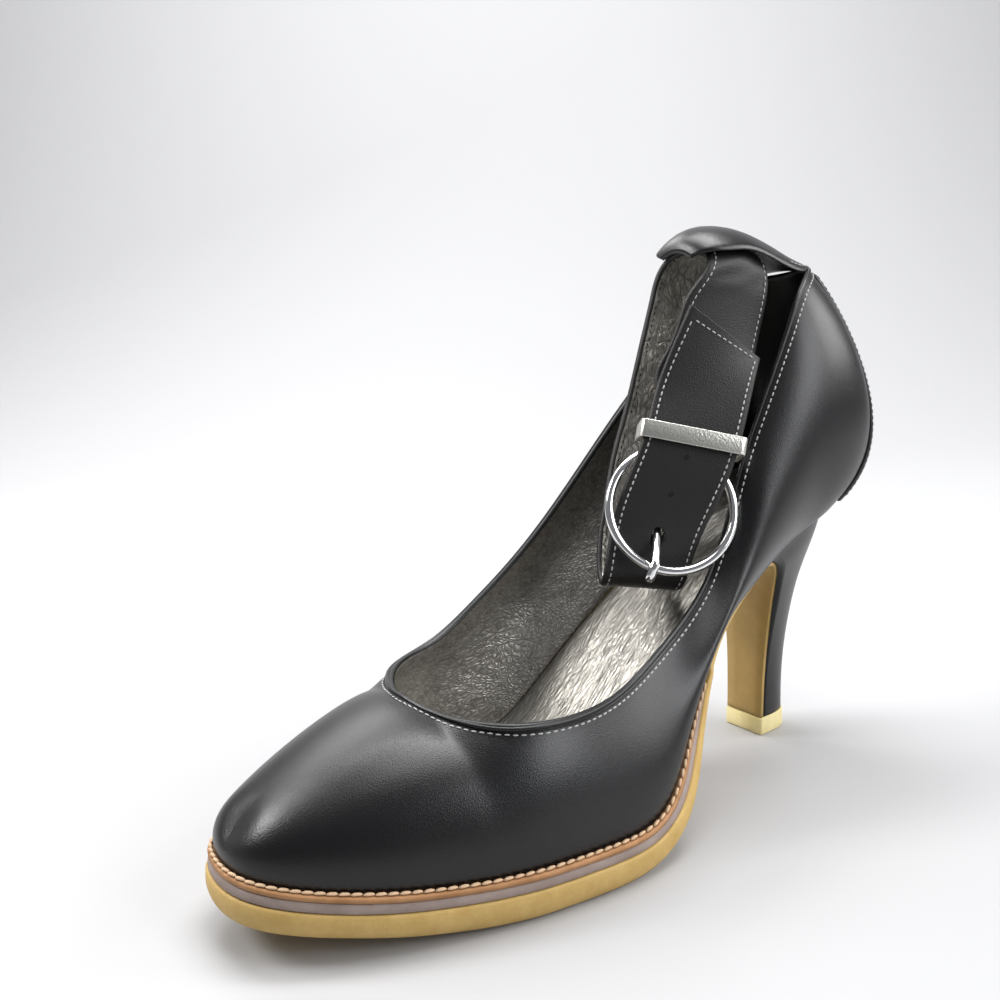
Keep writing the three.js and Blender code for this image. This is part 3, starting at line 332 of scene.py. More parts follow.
# meshes
def addMesh(name, points, faces, finishes, kinds=None, closed=True, smooth=True):
    mesh = bpy.data.meshes.new(name)
    corners = (np.asarray(points, float) * 0.001).tolist()  # millimetres to metres
    mesh.from_pydata(corners, [], [tuple(int(i) for i in f) for f in faces])
    for finish in finishes:
        mesh.materials.append(finish)
    if kinds is not None:
        mesh.polygons.foreach_set("material_index", np.asarray(kinds, np.int32))
    mesh.polygons.foreach_set("use_smooth", [smooth] * len(mesh.polygons))
    work = bmesh.new()
    work.from_mesh(mesh)
    bmesh.ops.remove_doubles(work, verts=work.verts, dist=2e-6)
    if closed:
        bmesh.ops.recalc_face_normals(work, faces=work.faces)
    work.to_mesh(mesh)
    work.free()
    piece = bpy.data.objects.new(name, mesh)
    scene.collection.objects.link(piece)
    return piece


def settle(piece, slotName, *nodes):
    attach(piece, "root")
    if nodes:
        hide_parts(*nodes)
    return piece


def addPiece(name, parts, finish, slotName, *nodes):
    return settle(addMesh(name, *parts, [finish]), slotName, *nodes)


def gridFaces(rows, columns, wrap=False, start=0):
    faces = []
    for i in range(rows if wrap else rows - 1):
        a = start + i * columns
        b = start + ((i + 1) % rows) * columns
        faces.extend((a + j, b + j, b + j + 1, a + j + 1) for j in range(columns - 1))
    return faces


def loopFaces(rows, columns, wrap=False, start=0):  # a grid whose columns close on themselves
    faces = []
    for i in range(rows if wrap else rows - 1):
        a = start + i * columns
        b = start + ((i + 1) % rows) * columns
        faces.extend((a + j, b + j, b + (j + 1) % columns, a + (j + 1) % columns) for j in range(columns))
    return faces


def vertexNormals(points, faces):
    normals = np.zeros_like(points)
    quads = np.array(faces)
    p = points[quads]
    n = np.cross(p[:, 2] - p[:, 0], p[:, 3] - p[:, 1])
    for k in range(4):
        np.add.at(normals, quads[:, k], n)
    return unit(normals)


def runLength(points):
    return np.concatenate([[0], np.cumsum(np.linalg.norm(np.diff(points, axis=0), axis=1))])


def resample(points, pitch, closed=False):  # evenly spaced places and directions along a line
    points = np.asarray(points, float)
    if closed:
        points = np.vstack([points, points[:1]])
    length = runLength(points)
    count = max(2, int(round(length[-1] / pitch)))
    at = (np.arange(count) + 0.5) * length[-1] / count
    spots = np.stack([np.interp(at, length, points[:, c]) for c in range(3)], 1)
    ahead = np.stack([np.interp(np.minimum(at + 0.3, length[-1]), length, points[:, c]) for c in range(3)], 1)
    behind = np.stack([np.interp(np.maximum(at - 0.3, 0), length, points[:, c]) for c in range(3)], 1)
    return spots, unit(ahead - behind)


def stitchParts(spots, along, normals, length, radius, flat=0.75, slant=0.0):
    side = unit(np.cross(normals, along))
    along = unit(along + slant * side)
    side = unit(np.cross(normals, along))
    rings = [(-0.5, 0.0), (-0.42, 0.62), (-0.2, 1.0), (0.2, 1.0), (0.42, 0.62), (0.5, 0.0)]
    sides = 6
    points, faces = [], []
    for k in range(len(spots)):
        base = len(points)
        for share, wide in rings:
            middle = spots[k] + along[k] * share * length + normals[k] * radius * 0.35 * wide
            for s in range(sides):
                a = 2 * math.pi * s / sides
                around = side[k] * math.cos(a) + flat * normals[k] * math.sin(a)
                points.append(middle + wide * radius * around)
        faces.extend(loopFaces(len(rings), sides, start=base))
    return points, faces


def addStitches(name, rows, finish, length=1.45, radius=0.23, slant=0.0):  # rows of (spots, along, normals)
    points, faces = [], []
    for spots, along, normals in rows:
        p, f = stitchParts(spots, along, normals, length, radius, slant=slant)
        faces.extend(tuple(i + len(points) for i in face) for face in f)
        points.extend(p)
    return addMesh(name, points, faces, [finish])


def rodParts(points, radius, sides=12, closed=False, up=(0, 0, 1)):
    points = np.asarray(points, float)
    count = len(points)
    if closed:
        along = unit(np.roll(points, -1, 0) - np.roll(points, 1, 0))
    else:
        along = unit(np.gradient(points, axis=0))
    side = unit(np.cross(along, np.broadcast_to(np.asarray(up, float), along.shape)))
    other = np.cross(side, along)
    radius = np.broadcast_to(np.asarray(radius, float), (count,))[:, None, None]
    angle = 2 * np.pi * np.arange(sides) / sides
    ring = points[:, None] + radius * (side[:, None] * np.cos(angle)[None, :, None]
                                       + other[:, None] * np.sin(angle)[None, :, None])
    faces = loopFaces(count, sides, wrap=closed)
    if not closed:
        faces = [tuple(range(sides)), tuple(range((count - 1) * sides, count * sides))] + faces
    return ring.reshape(-1, 3), faces


print("helpers ready")


# shader groups
def newGroup(name, inputs, outputs):
    group = bpy.data.node_groups.new(name, "ShaderNodeTree")
    for label, kind, value in inputs:
        socket = group.interface.new_socket(name=label, in_out="INPUT", socket_type=kind)
        if value is not None:
            socket.default_value = value
    for label, kind in outputs:
        group.interface.new_socket(name=label, in_out="OUTPUT", socket_type=kind)
    start = group.nodes.new("NodeGroupInput")
    end = group.nodes.new("NodeGroupOutput")
    return group, start, end


def setSocket(tree, socket, value):  # a number is set, an output is linked
    if isinstance(value, (int, float)):
        socket.default_value = value
    else:
        tree.links.new(value, socket)


def mathNode(tree, kind, *values):
    node = tree.nodes.new("ShaderNodeMath")
    node.operation = kind
    for socket, value in zip(node.inputs, values):
        setSocket(tree, socket, value)
    return node.outputs[0]


def bumpNode(tree, height, strength, distance):
    node = tree.nodes.new("ShaderNodeBump")
    node.inputs["Distance"].default_value = distance
    setSocket(tree, node.inputs["Strength"], strength)
    tree.links.new(height, node.inputs["Height"])
    return node.outputs[0]


def noiseNode(tree, vector, scale, detail=3.0, roughness=0.55):
    node = tree.nodes.new("ShaderNodeTexNoise")
    tree.links.new(vector, node.inputs["Vector"])
    setSocket(tree, node.inputs["Scale"], scale)
    node.inputs["Detail"].default_value = detail
    node.inputs["Roughness"].default_value = roughness
    return node.outputs["Fac"]


def cellNode(tree, vector, scale, feature="DISTANCE_TO_EDGE"):
    node = tree.nodes.new("ShaderNodeTexVoronoi")
    node.feature = feature
    tree.links.new(vector, node.inputs["Vector"])
    setSocket(tree, node.inputs["Scale"], scale)
    return node.outputs["Distance"]


def grainGroup():  # fine pores and cells of smooth calf
    group, start, end = newGroup("calfGrain", [
        ("Vector", "NodeSocketVector", None), ("Cells", "NodeSocketFloat", 1500.0),
        ("Strength", "NodeSocketFloat", 0.1)],
        [("Normal", "NodeSocketVector"), ("Shade", "NodeSocketFloat")])
    vector = start.outputs["Vector"]
    cells = cellNode(group, vector, start.outputs["Cells"])
    fine = noiseNode(group, vector, mathNode(group, "MULTIPLY", start.outputs["Cells"], 1.7), 2.0)
    slow = noiseNode(group, vector, 60.0, 3.0)
    height = mathNode(group, "ADD", mathNode(group, "MULTIPLY", cells, 1.2),
                      mathNode(group, "MULTIPLY", fine, 0.6))
    group.links.new(bumpNode(group, height, start.outputs["Strength"], 0.0003), end.inputs["Normal"])
    group.links.new(slow, end.inputs["Shade"])
    return group


def crinkleGroup():  # creased foil leather
    group, start, end = newGroup("foilCrinkle", [
        ("Vector", "NodeSocketVector", None), ("Scale", "NodeSocketFloat", 260.0),
        ("Strength", "NodeSocketFloat", 0.5)],
        [("Normal", "NodeSocketVector"), ("Height", "NodeSocketFloat")])
    vector = start.outputs["Vector"]
    warp = group.nodes.new("ShaderNodeTexNoise")
    group.links.new(vector, warp.inputs["Vector"])
    warp.inputs["Scale"].default_value = 90.0
    warp.inputs["Detail"].default_value = 3.0
    shift = group.nodes.new("ShaderNodeVectorMath")
    shift.operation = "SCALE"
    group.links.new(warp.outputs["Color"], shift.inputs[0])
    shift.inputs["Scale"].default_value = 0.008
    moved = group.nodes.new("ShaderNodeVectorMath")
    moved.operation = "ADD"
    group.links.new(vector, moved.inputs[0])
    group.links.new(shift.outputs[0], moved.inputs[1])
    cells = cellNode(group, moved.outputs[0], start.outputs["Scale"])
    folds = noiseNode(group, moved.outputs[0],
                      mathNode(group, "MULTIPLY", start.outputs["Scale"], 0.55), 4.0, 0.6)
    fine = noiseNode(group, vector, mathNode(group, "MULTIPLY", start.outputs["Scale"], 4.0), 2.0)
    height = mathNode(group, "ADD", mathNode(group, "MULTIPLY", cells, 1.1),
                      mathNode(group, "ADD", folds, mathNode(group, "MULTIPLY", fine, 0.18)))
    group.links.new(bumpNode(group, height, start.outputs["Strength"], 0.0007), end.inputs["Normal"])
    group.links.new(height, end.inputs["Height"])
    return group


def mottleGroup():  # slow change between two colours, with a fine pitted height
    group, start, end = newGroup("mottle", [
        ("Vector", "NodeSocketVector", None), ("Light", "NodeSocketColor", (1, 1, 1, 1)),
        ("Dark", "NodeSocketColor", (0, 0, 0, 1)), ("Scale", "NodeSocketFloat", 120.0),
        ("Bump", "NodeSocketFloat", 0.2)],
        [("Color", "NodeSocketColor"), ("Normal", "NodeSocketVector")])
    vector = start.outputs["Vector"]
    slow = noiseNode(group, vector, start.outputs["Scale"], 4.0, 0.6)
    fine = noiseNode(group, vector, mathNode(group, "MULTIPLY", start.outputs["Scale"], 9.0), 3.0)
    share = group.nodes.new("ShaderNodeMapRange")
    share.inputs["From Min"].default_value = 0.32
    share.inputs["From Max"].default_value = 0.68
    group.links.new(slow, share.inputs["Value"])
    mix = group.nodes.new("ShaderNodeMix")
    mix.data_type = "RGBA"
    group.links.new(share.outputs[0], mix.inputs["Factor"])
    for socket in mix.inputs:
        if socket.type == "RGBA" and socket.name == "A":
            group.links.new(start.outputs["Dark"], socket)
        if socket.type == "RGBA" and socket.name == "B":
            group.links.new(start.outputs["Light"], socket)
    out = [s for s in mix.outputs if s.type == "RGBA"][0]
    group.links.new(out, end.inputs["Color"])
    height = mathNode(group, "ADD", slow, mathNode(group, "MULTIPLY", fine, 0.5))
    group.links.new(bumpNode(group, height, start.outputs["Bump"], 0.0004), end.inputs["Normal"])
    return group


calfGrain = grainGroup()
foilCrinkle = crinkleGroup()
mottle = mottleGroup()


def newFinish(name, colour, roughness, metallic=0.0, coat=0.0, coatRoughness=0.2, specular=0.5):
    finish = bpy.data.materials.new(name)
    finish.use_nodes = True
    tree = finish.node_tree
    shader = tree.nodes["Principled BSDF"]
    shader.inputs["Base Color"].default_value = (*colour, 1)
    shader.inputs["Roughness"].default_value = roughness
    shader.inputs["Metallic"].default_value = metallic
    shader.inputs["Coat Weight"].default_value = coat
    shader.inputs["Coat Roughness"].default_value = coatRoughness
    shader.inputs["Specular IOR Level"].default_value = specular
    where = tree.nodes.new("ShaderNodeTexCoord")
    return finish, tree, shader, where.outputs["Object"]


def useGroup(tree, group, where, values):
    node = tree.nodes.new("ShaderNodeGroup")
    node.node_tree = group
    tree.links.new(where, node.inputs["Vector"])
    for key, value in values.items():
        node.inputs[key].default_value = value
    return node


def calfFinish(name, look):
    finish, tree, shader, where = newFinish(name, look["colour"], look["roughness"], coat=look["coat"],
                                            coatRoughness=look["coatRoughness"], specular=look["specular"])
    grain = useGroup(tree, calfGrain, where, {"Cells": look["cells"], "Strength": look["grain"]})
    tree.links.new(grain.outputs["Normal"], shader.inputs["Normal"])
    rough = mathNode(tree, "MULTIPLY_ADD", grain.outputs["Shade"], look["roughChange"],
                     look["roughness"] - look["roughChange"] / 2)
    tree.links.new(rough, shader.inputs["Roughness"])
    return finish


def foilFinish(name, look):
    finish, tree, shader, where = newFinish(name, look["colour"], look["roughness"], metallic=look["metallic"])
    stretch = tree.nodes.new("ShaderNodeMapping")
    stretch.inputs["Scale"].default_value = look["stretch"]
    stretch.inputs["Rotation"].default_value = look["turn"]
    tree.links.new(where, stretch.inputs["Vector"])
    crinkle = useGroup(tree, foilCrinkle, stretch.outputs[0],
                       {"Scale": look["scale"], "Strength": look["strength"]})
    tree.links.new(crinkle.outputs["Normal"], shader.inputs["Normal"])
    # painted crease shade: the foil's colour drops to 0.42 of itself in the low creases of the crinkle
    creaseShade = tree.nodes.new("ShaderNodeValToRGB")
    creaseShade.color_ramp.elements[0].position = 0.35
    creaseShade.color_ramp.elements[0].color = (*[c * 0.42 for c in look["colour"]], 1)
    creaseShade.color_ramp.elements[1].position = 0.95
    creaseShade.color_ramp.elements[1].color = (*look["colour"], 1)
    tree.links.new(crinkle.outputs["Height"], creaseShade.inputs["Fac"])
    tree.links.new(creaseShade.outputs["Color"], shader.inputs["Base Color"])
    return finish


def mottleFinish(name, look):
    finish, tree, shader, where = newFinish(name, look["light"], look["roughness"], specular=0.35)
    group = useGroup(tree, mottle, where, {"Light": (*look["light"], 1), "Dark": (*look["dark"], 1),
                                           "Scale": look["scale"], "Bump": look["bump"]})
    tree.links.new(group.outputs["Color"], shader.inputs["Base Color"])
    tree.links.new(group.outputs["Normal"], shader.inputs["Normal"])
    return finish


calfLook = {"colour": (0.003, 0.003, 0.0036), "roughness": 0.34, "roughChange": 0.1, "coat": 0.06,
            "coatRoughness": 0.2, "specular": 0.42, "cells": 1700.0, "grain": 0.19}
strapCalfLook = {"colour": (0.0125, 0.0112, 0.0108), "roughness": 0.5, "roughChange": 0.12, "coat": 0.0,
                 "coatRoughness": 0.3, "specular": 0.36, "cells": 1300.0, "grain": 0.34}
liningLook = {"colour": (0.42, 0.4, 0.365), "roughness": 0.36, "metallic": 0.72, "scale": 1050.0,
              "strength": 0.34, "stretch": (0.5, 1.0, 0.8), "turn": (0, 0.5, 0)}
sockLook = {"colour": (0.33, 0.315, 0.285), "roughness": 0.36, "metallic": 0.7, "scale": 560.0,
            "strength": 0.42, "stretch": (0.35, 1.4, 0.35), "turn": (0, 0, 0.1)}
# the strap's inside is the pewter lining, its own colour raised well above the quarter lining's as painted light on
# it
strapInsidePaintedLightLook = {"colour": (0.8, 0.77, 0.71), "roughness": 0.36, "metallic": 0.55, "scale": 430.0,
                   "strength": 0.85, "stretch": (1.0, 1.0, 0.8), "turn": (0, 0, 0)}
weltLook = {"light": (0.42, 0.22, 0.1), "dark": (0.3, 0.145, 0.055), "scale": 160.0, "bump": 0.3,
            "roughness": 0.6}
midsoleLook = {"light": (0.34, 0.27, 0.24), "dark": (0.26, 0.2, 0.175), "scale": 130.0, "bump": 0.25,
               "roughness": 0.7}
outsoleLook = {"light": (0.55, 0.375, 0.135), "dark": (0.475, 0.31, 0.095), "scale": 190.0, "bump": 0.45,
               "roughness": 0.62}
breastLook = {"light": (0.44, 0.295, 0.098), "dark": (0.3, 0.195, 0.055), "scale": 45.0, "bump": 0.12,
              "roughness": 0.45}
liftLook = {"light": (0.8, 0.7, 0.37), "dark": (0.68, 0.57, 0.27), "scale": 150.0, "bump": 0.15,
            "roughness": 0.55}

calf = calfFinish("blackCalf", calfLook)
strapCalf = calfFinish("strapCalf", strapCalfLook)
lining = foilFinish("pewterLining", liningLook)
sockFoil = foilFinish("pewterSock", sockLook)
strapFoilPaintedLight = foilFinish("strapLiningPaintedLight", strapInsidePaintedLightLook)
weltTan = mottleFinish("tanWelt", weltLook)
midsoleGrey = mottleFinish("greyMidsole", midsoleLook)
outsoleOchre = mottleFinish("ochreCrepe", outsoleLook)
breastOchre = mottleFinish("ochreBreast", breastLook)
liftPale = mottleFinish("paleLift", liftLook)
whiteThread = newFinish("whiteThread", (0.42, 0.42, 0.41), 0.8)[0]
darkThread = newFinish("darkThread", (0.03, 0.03, 0.03), 0.7)[0]
weltThread = newFinish("weltThread", (0.58, 0.4, 0.25), 0.8)[0]
# flat black of painted shade, used for the strap holes and the topline groove
paintedShadeBlack = newFinish("paintedShadeBlack", (0.003, 0.003, 0.003), 0.9)[0]
silver = newFinish("polishedSilver", (0.86, 0.86, 0.86), 0.13, metallic=1.0)[0]


def hammeredFinish(look):
    finish, tree, shader, where = newFinish("hammeredSilver", look["colour"], look["roughness"], metallic=1.0)
    dents = cellNode(tree, where, look["dents"], "SMOOTH_F1")
    tree.links.new(bumpNode(tree, dents, look["depth"], 0.0003), shader.inputs["Normal"])
    return finish


paleSilver = hammeredFinish({"colour": (0.66, 0.65, 0.6), "roughness": 0.32, "dents": 1900.0, "depth": 0.22})
print("finishes ready")

# upper: outer skin, rounded rim, lining
upperMake = {"columns": 8, "rows": 56, "rimSteps": 4, "even": 70}
sideStations = np.unique(np.round(np.concatenate([
    np.arange(0, 1.5, 0.1), np.arange(1.5, lastRow, 1 / upperMake["columns"]), [throatRow, lastRow]]), 4))
stations = np.concatenate([sideStations, (ringEnd - sideStations[1:-1])[::-1]])
columnCount = len(stations)
levels = np.linspace(0, 1, upperMake["rows"])
levelCount = len(levels)
skin = np.stack([lastPoint(stations, v) for v in levels], 1)
mirrored = (-np.arange(columnCount)) % columnCount
isOpen = (stations >= throatRow) & (stations <= ringEnd - throatRow)
shut = ~isOpen
skin[shut, -1] = ((skin[:, -1] + skin[mirrored, -1]) / 2)[shut]
throatAt = int(np.argmin(abs(stations - throatRow)))
skin[mirrored[throatAt], -1] = skin[throatAt, -1]
index = np.arange(columnCount * levelCount).reshape(columnCount, levelCount)
for i in range(columnCount):
    if (shut[i] and stations[i] > lastRow) or i == mirrored[throatAt]:
        index[i, -1] = index[mirrored[i], -1]
skinPoints = skin.reshape(-1, 3)
skinFaces = []
for i in range(columnCount):
    k = (i + 1) % columnCount
    for j in range(levelCount - 1):
        skinFaces.append((index[i, j], index[k, j], index[k, j + 1], index[i, j + 1]))


def evenOut(points, faces, share, turns):
    faces = np.array(faces)
    pairs = np.unique(np.sort(np.vstack([faces[:, [k, (k + 1) % 4]] for k in range(4)]), 1), axis=0)
    ends = np.maximum(np.bincount(pairs.ravel(), minlength=len(points)), 1)[:, None]
    for turn in range(turns):
        total = np.zeros_like(points)
        np.add.at(total, pairs[:, 0], points[pairs[:, 1]])
        np.add.at(total, pairs[:, 1], points[pairs[:, 0]])
        points = points + 0.5 * share[:, None] * (total / ends - points)
    return points


# the ridge ends at the throat: its joint is evened out
fromToe = np.minimum(stations, ringEnd - stations)
share = (ease(fromToe, 2.5, 4.5) * (1 - ease(fromToe, 9, 12)))[:, None] * ease(levels, 0.1, 0.3)[None, :]
share[isOpen, -1] = 0
skinPoints = evenOut(skinPoints, skinFaces, share.reshape(-1), upperMake["even"])
skinNormals = vertexNormals(skinPoints, skinFaces)
wallNormals = skinNormals.copy()
flatFeet = index[:, 0]
wallNormals[flatFeet, 2] = 0
wallNormals = unit(wallNormals)
liningPoints = skinPoints - pump["upperWall"] * wallNormals
feet = liningPoints[flatFeet]
liningPoints[flatFeet] = onBed(feet[:, 0] + twist(feet[:, 0]) * feet[:, 1], feet[:, 1], -pump["gap"])
rimColumns = [i for i in range(columnCount) if isOpen[i]]
rimColumns = rimColumns[:-1]  # the last one is the throat again
rimIndex = np.array([index[i, -1] for i in rimColumns])
rimOuter = skinPoints[rimIndex]
rimInner = liningPoints[rimIndex]
rimAlong = unit(np.roll(rimOuter, -1, 0) - np.roll(rimOuter, 1, 0))
rimOut = unit(rimOuter - rimInner)
rimUp = unit(np.cross(rimOut, rimAlong))
allPoints = [skinPoints, liningPoints]
count = len(skinPoints)
rimStart = 2 * count
rimRows = []
for s in range(1, upperMake["rimSteps"]):
    a = math.pi * s / upperMake["rimSteps"]
    middle = (rimOuter + rimInner) / 2
    rimRows.append(middle + (rimOuter - middle) * math.cos(a) + rimUp * 0.75 * math.sin(a))
allPoints += rimRows
faces = list(skinFaces)
kinds = [0] * len(faces)
innerFaces = [tuple(i + count for i in f[::-1]) for f in skinFaces]
faces += innerFaces
heelLining = (stations > 18.2) & (stations < 24.6)  # the back's inside takes the black calf finish instead of the pewter lining
for i in range(columnCount):
    kinds += [0 if heelLining[i] else 1] * (levelCount - 1)
rimCount = len(rimIndex)
rimLines = [rimStart + r * rimCount + np.arange(rimCount) for r in range(len(rimRows))]
lines = [rimIndex] + rimLines + [rimIndex + count]
for r in range(len(lines) - 1):
    for i in range(rimCount):
        k = (i + 1) % rimCount
        faces.append((lines[r][i], lines[r][k], lines[r + 1][k], lines[r + 1][i]))
        kinds.append(0)
for i in range(columnCount):
    k = (i + 1) % columnCount
    faces.append((index[k, 0], index[i, 0], index[i, 0] + count, index[k, 0] + count))
    kinds.append(0)
used = np.unique(np.array([i for f in faces for i in f]))
renumber = {int(o): n for n, o in enumerate(used)}
upperPiece = addMesh("upperLeather", np.vstack(allPoints)[used],
                     [tuple(renumber[int(i)] for i in f) for f in faces], [calf, lining], kinds)
settle(upperPiece, "black_leather", "upper")
skinTree = BVHTree.FromPolygons([Vector(p) for p in skinPoints], [tuple(int(i) for i in f) for f in skinFaces])
print("upper ready")


def onSkin(points, lift=0.0, tree=skinTree):  # nearest spots on the leather with their normals
    spots, normals = [], []
    for p in points:
        where, normal, face, distance = tree.find_nearest(Vector(p))
        spots.append(where)
        normals.append(normal)
    spots = np.array(spots)
    normals = np.array(normals)
    return spots + lift * normals, normals


def rowOnSkin(line, pitch, lift=0.05, closed=False, tree=skinTree, sense=1):
    spots, along = resample(line, pitch, closed)
    placed, normals = onSkin(spots, 0, tree)
    return placed + lift * normals * sense, along, normals * sense


# topline: folded edge with a bead and a stitch row
toplineMake = {"bead": 0.62, "beadOut": 0.12, "stitchDown": 2.1, "pitch": 2.05}
beadLine = rimOuter + rimOut * toplineMake["beadOut"] - rimUp * 0.1
addPiece("toplineBead", rodParts(beadLine, toplineMake["bead"], 10, closed=True), calf, "black_leather")
stitchLine = rimOuter - rimUp * toplineMake["stitchDown"]
# a thin dark line of painted shade stands for the crease groove under the bead
grooveShadeLine = onSkin(rimOuter - rimUp * 1.35, -0.16)[0]
addPiece("toplineGrooveShade", rodParts(grooveShadeLine, 0.22, 6, closed=True), paintedShadeBlack, "black_leather")
toplineRow = rowOnSkin(stitchLine, toplineMake["pitch"], closed=True)
settle(addStitches("toplineStitches", [toplineRow], whiteThread), "black_leather")
print("topline ready")

# counter: raised back overlay with a double stitch row on its front edge
seamLateral = spline([0, 0.3, 0.55, 1], [20.3, 20.75, 20.95, 21.0])
seamMedial = spline([0, 0.15, 0.3, 0.5, 0.75, 1], [19.1, 19.55, 19.95, 20.25, 20.35, 20.4])
counterMake = {"rows": 44, "columns": 64, "step": 0.95, "edgeIn": 1.5, "second": 3.0,
               "pitch": 2.05, "stationLength": 9, "height": 60, "sideRound": 0.7, "topRound": 1.2}
counterLevels = 0.01 + 0.965 * np.linspace(0, 1, counterMake["rows"])
starts = seamLateral(counterLevels)[:, 0]
ends = ringEnd - seamMedial(counterLevels)[:, 0]
share = np.linspace(0, 1, counterMake["columns"])
front, back = [], []
for v, a, b in zip(counterLevels, starts, ends):
    place = a + (b - a) * share
    point = lastPoint(place, v)
    normal = lastNormal(place, v)
    edge = np.minimum(share, 1 - share) * (b - a) * counterMake["stationLength"]
    topEdge = min(1.0, (counterLevels[-1] - v) * counterMake["height"] / counterMake["topRound"])
    full = np.clip(np.minimum(edge / counterMake["sideRound"], topEdge), 0.05, 1)
    rise = pump["gap"] + counterMake["step"] * np.sqrt(full)
    front.append(point + normal * rise[:, None])
    back.append(point + normal * 0.02)
front = np.array(front)
back = np.array(back)


def slabParts(front, back):
    rows, columns = front.shape[:2]
    points = np.vstack([front.reshape(-1, 3), back.reshape(-1, 3)])
    size = rows * columns
    faces = gridFaces(rows, columns) + [tuple(i + size for i in f[::-1]) for f in gridFaces(rows, columns)]
    edge = ([(0, j) for j in range(columns)] + [(i, columns - 1) for i in range(1, rows)]
            + [(rows - 1, j) for j in range(columns - 2, -1, -1)] + [(i, 0) for i in range(rows - 2, 0, -1)])
    ids = [i * columns + j for i, j in edge]
    for a, b in zip(ids, ids[1:] + ids[:1]):
        faces.append((b, a, a + size, b + size))
    return points, faces


addPiece("counterLeather", slabParts(front, back), calf, "black_leather", "counter")
counterTree = BVHTree.FromPolygons([Vector(p) for p in front.reshape(-1, 3)], gridFaces(*front.shape[:2]))


def counterLine(side, inset):
    line = []
    for j in range(1, len(counterLevels) - 1):
        row = front[j] if side == 0 else front[j][::-1]
        length = runLength(row)
        line.append([np.interp(inset, length, row[:, c]) for c in range(3)])
    return np.array(line)


rows = []
for side in (0, 1):
    for inset in (counterMake["edgeIn"], counterMake["second"]):
        spots, along = resample(counterLine(side, inset), counterMake["pitch"])
        placed, normals = onSkin(spots, 0, counterTree)
        outwards = np.array([n if np.dot(n, p - [-5, 0, p[2]]) > 0 else -n for n, p in zip(normals, placed)])
        rows.append((placed + 0.05 * outwards, along, outwards))
settle(addStitches("counterStitches", rows, whiteThread), "black_leather")
print("counter ready")

# the arch seam on the medial side, sewn in black
seamMake = {"top": (88.5, -31.0, 63.5), "low": (61.0, -20.5, 45.5), "cord": 0.28, "pitch": 2.0}
seamShares = np.linspace(0, 1, 40)[:, None]
seamStraight = np.array(seamMake["top"]) * (1 - seamShares) + np.array(seamMake["low"]) * seamShares
seamLine = onSkin(seamStraight, 0.02)[0]
addPiece("archSeam", rodParts(seamLine, seamMake["cord"], 8, up=(0.5, 1, 0.3)), calf, "black_leather")
seamRow = rowOnSkin(seamLine + [1.5, 0, -0.6], seamMake["pitch"])
settle(addStitches("archStitches", [seamRow], darkThread), "black_leather")
print("arch seam ready")


# sole plates
def outline(curves, places, inset):
    sides = []
    for curve, sign in zip(curves, (1, -1)):
        p = curve(places)
        d = curve(places + 0.05) - curve(places - 0.05)
        length = np.linalg.norm(d, axis=1, keepdims=True)
        normal = np.stack([sign * d[:, 1], -sign * d[:, 0]], 1) / length
        sides.append(p - normal * inset)
    return sides


def plateParts(curves, places, rings):
    points, faces = [], []
    count = len(places)
    for inset, drop in rings:
        for side in outline(curves, places, inset):
            points.append(onBed(side[:, 0], side[:, 1], np.broadcast_to(drop(side[:, 0]), side[:, 0].shape)))
    for k in range(len(rings)):
        a, b = points[2 * k], points[2 * k + 1]
        a[0] = b[0] = (a[0] + b[0]) / 2
        if places[-1] >= lastRow:
            a[-1] = b[-1] = (a[-1] + b[-1]) / 2
    base = lambda k, side: (2 * k + side) * count
    last = len(rings) - 1
    for i in range(count - 1):
        faces.append((base(0, 1) + i, base(0, 1) + i + 1, base(0, 0) + i + 1, base(0, 0) + i))
        faces.append((base(last, 0) + i, base(last, 0) + i + 1, base(last, 1) + i + 1, base(last, 1) + i))
        for k in range(last):
            faces.append((base(k, 0) + i, base(k, 0) + i + 1, base(k + 1, 0) + i + 1, base(k + 1, 0) + i))
            faces.append((base(k, 1) + i + 1, base(k, 1) + i, base(k + 1, 1) + i, base(k + 1, 1) + i + 1))
    for k in range(last):
        e = count - 1
        faces.append((base(k, 0) + e, base(k, 1) + e, base(k + 1, 1) + e, base(k + 1, 0) + e))
    return np.vstack(points), faces


def thin(p):
    return ease(p, *bedMake["thinTo"])


def weltDrop(p):
    return 0.6 + (pump["weltThick"] - 0.6) * thin(p)


def midTop(p):
    return weltDrop(p) + pump["gap"]


def midDrop(p):
    return midTop(p) + 0.5 + (pump["midsoleThick"] - 0.5) * thin(p)


def outTop(p):
    return np.where(np.asarray(p) > bedMake["outsoleFrom"], midDrop(p) + pump["gap"], 0)


def stackAt(p):
    return bedCurve(p)[:, 1]


soleCurves = (soleLateral, soleMedial)
upperCurves = (upperLateral, upperMedial)
toePlaces = np.concatenate([np.arange(0, 1.5, 0.06), np.arange(1.5, 14.01, 0.125)])
shankPlaces = np.concatenate([toePlaces, np.arange(14.1, 17.16, 0.15), [17.15]])
sockPlaces = np.concatenate([toePlaces, np.arange(14.2, 21, 0.2), [21, 21.2, 21.4, 21.6, 21.75, 21.88, 22]])

weltMake = {"stitch": 2.9, "stitchRadius": 0.52, "pitch": 2.85, "out": 0.95}
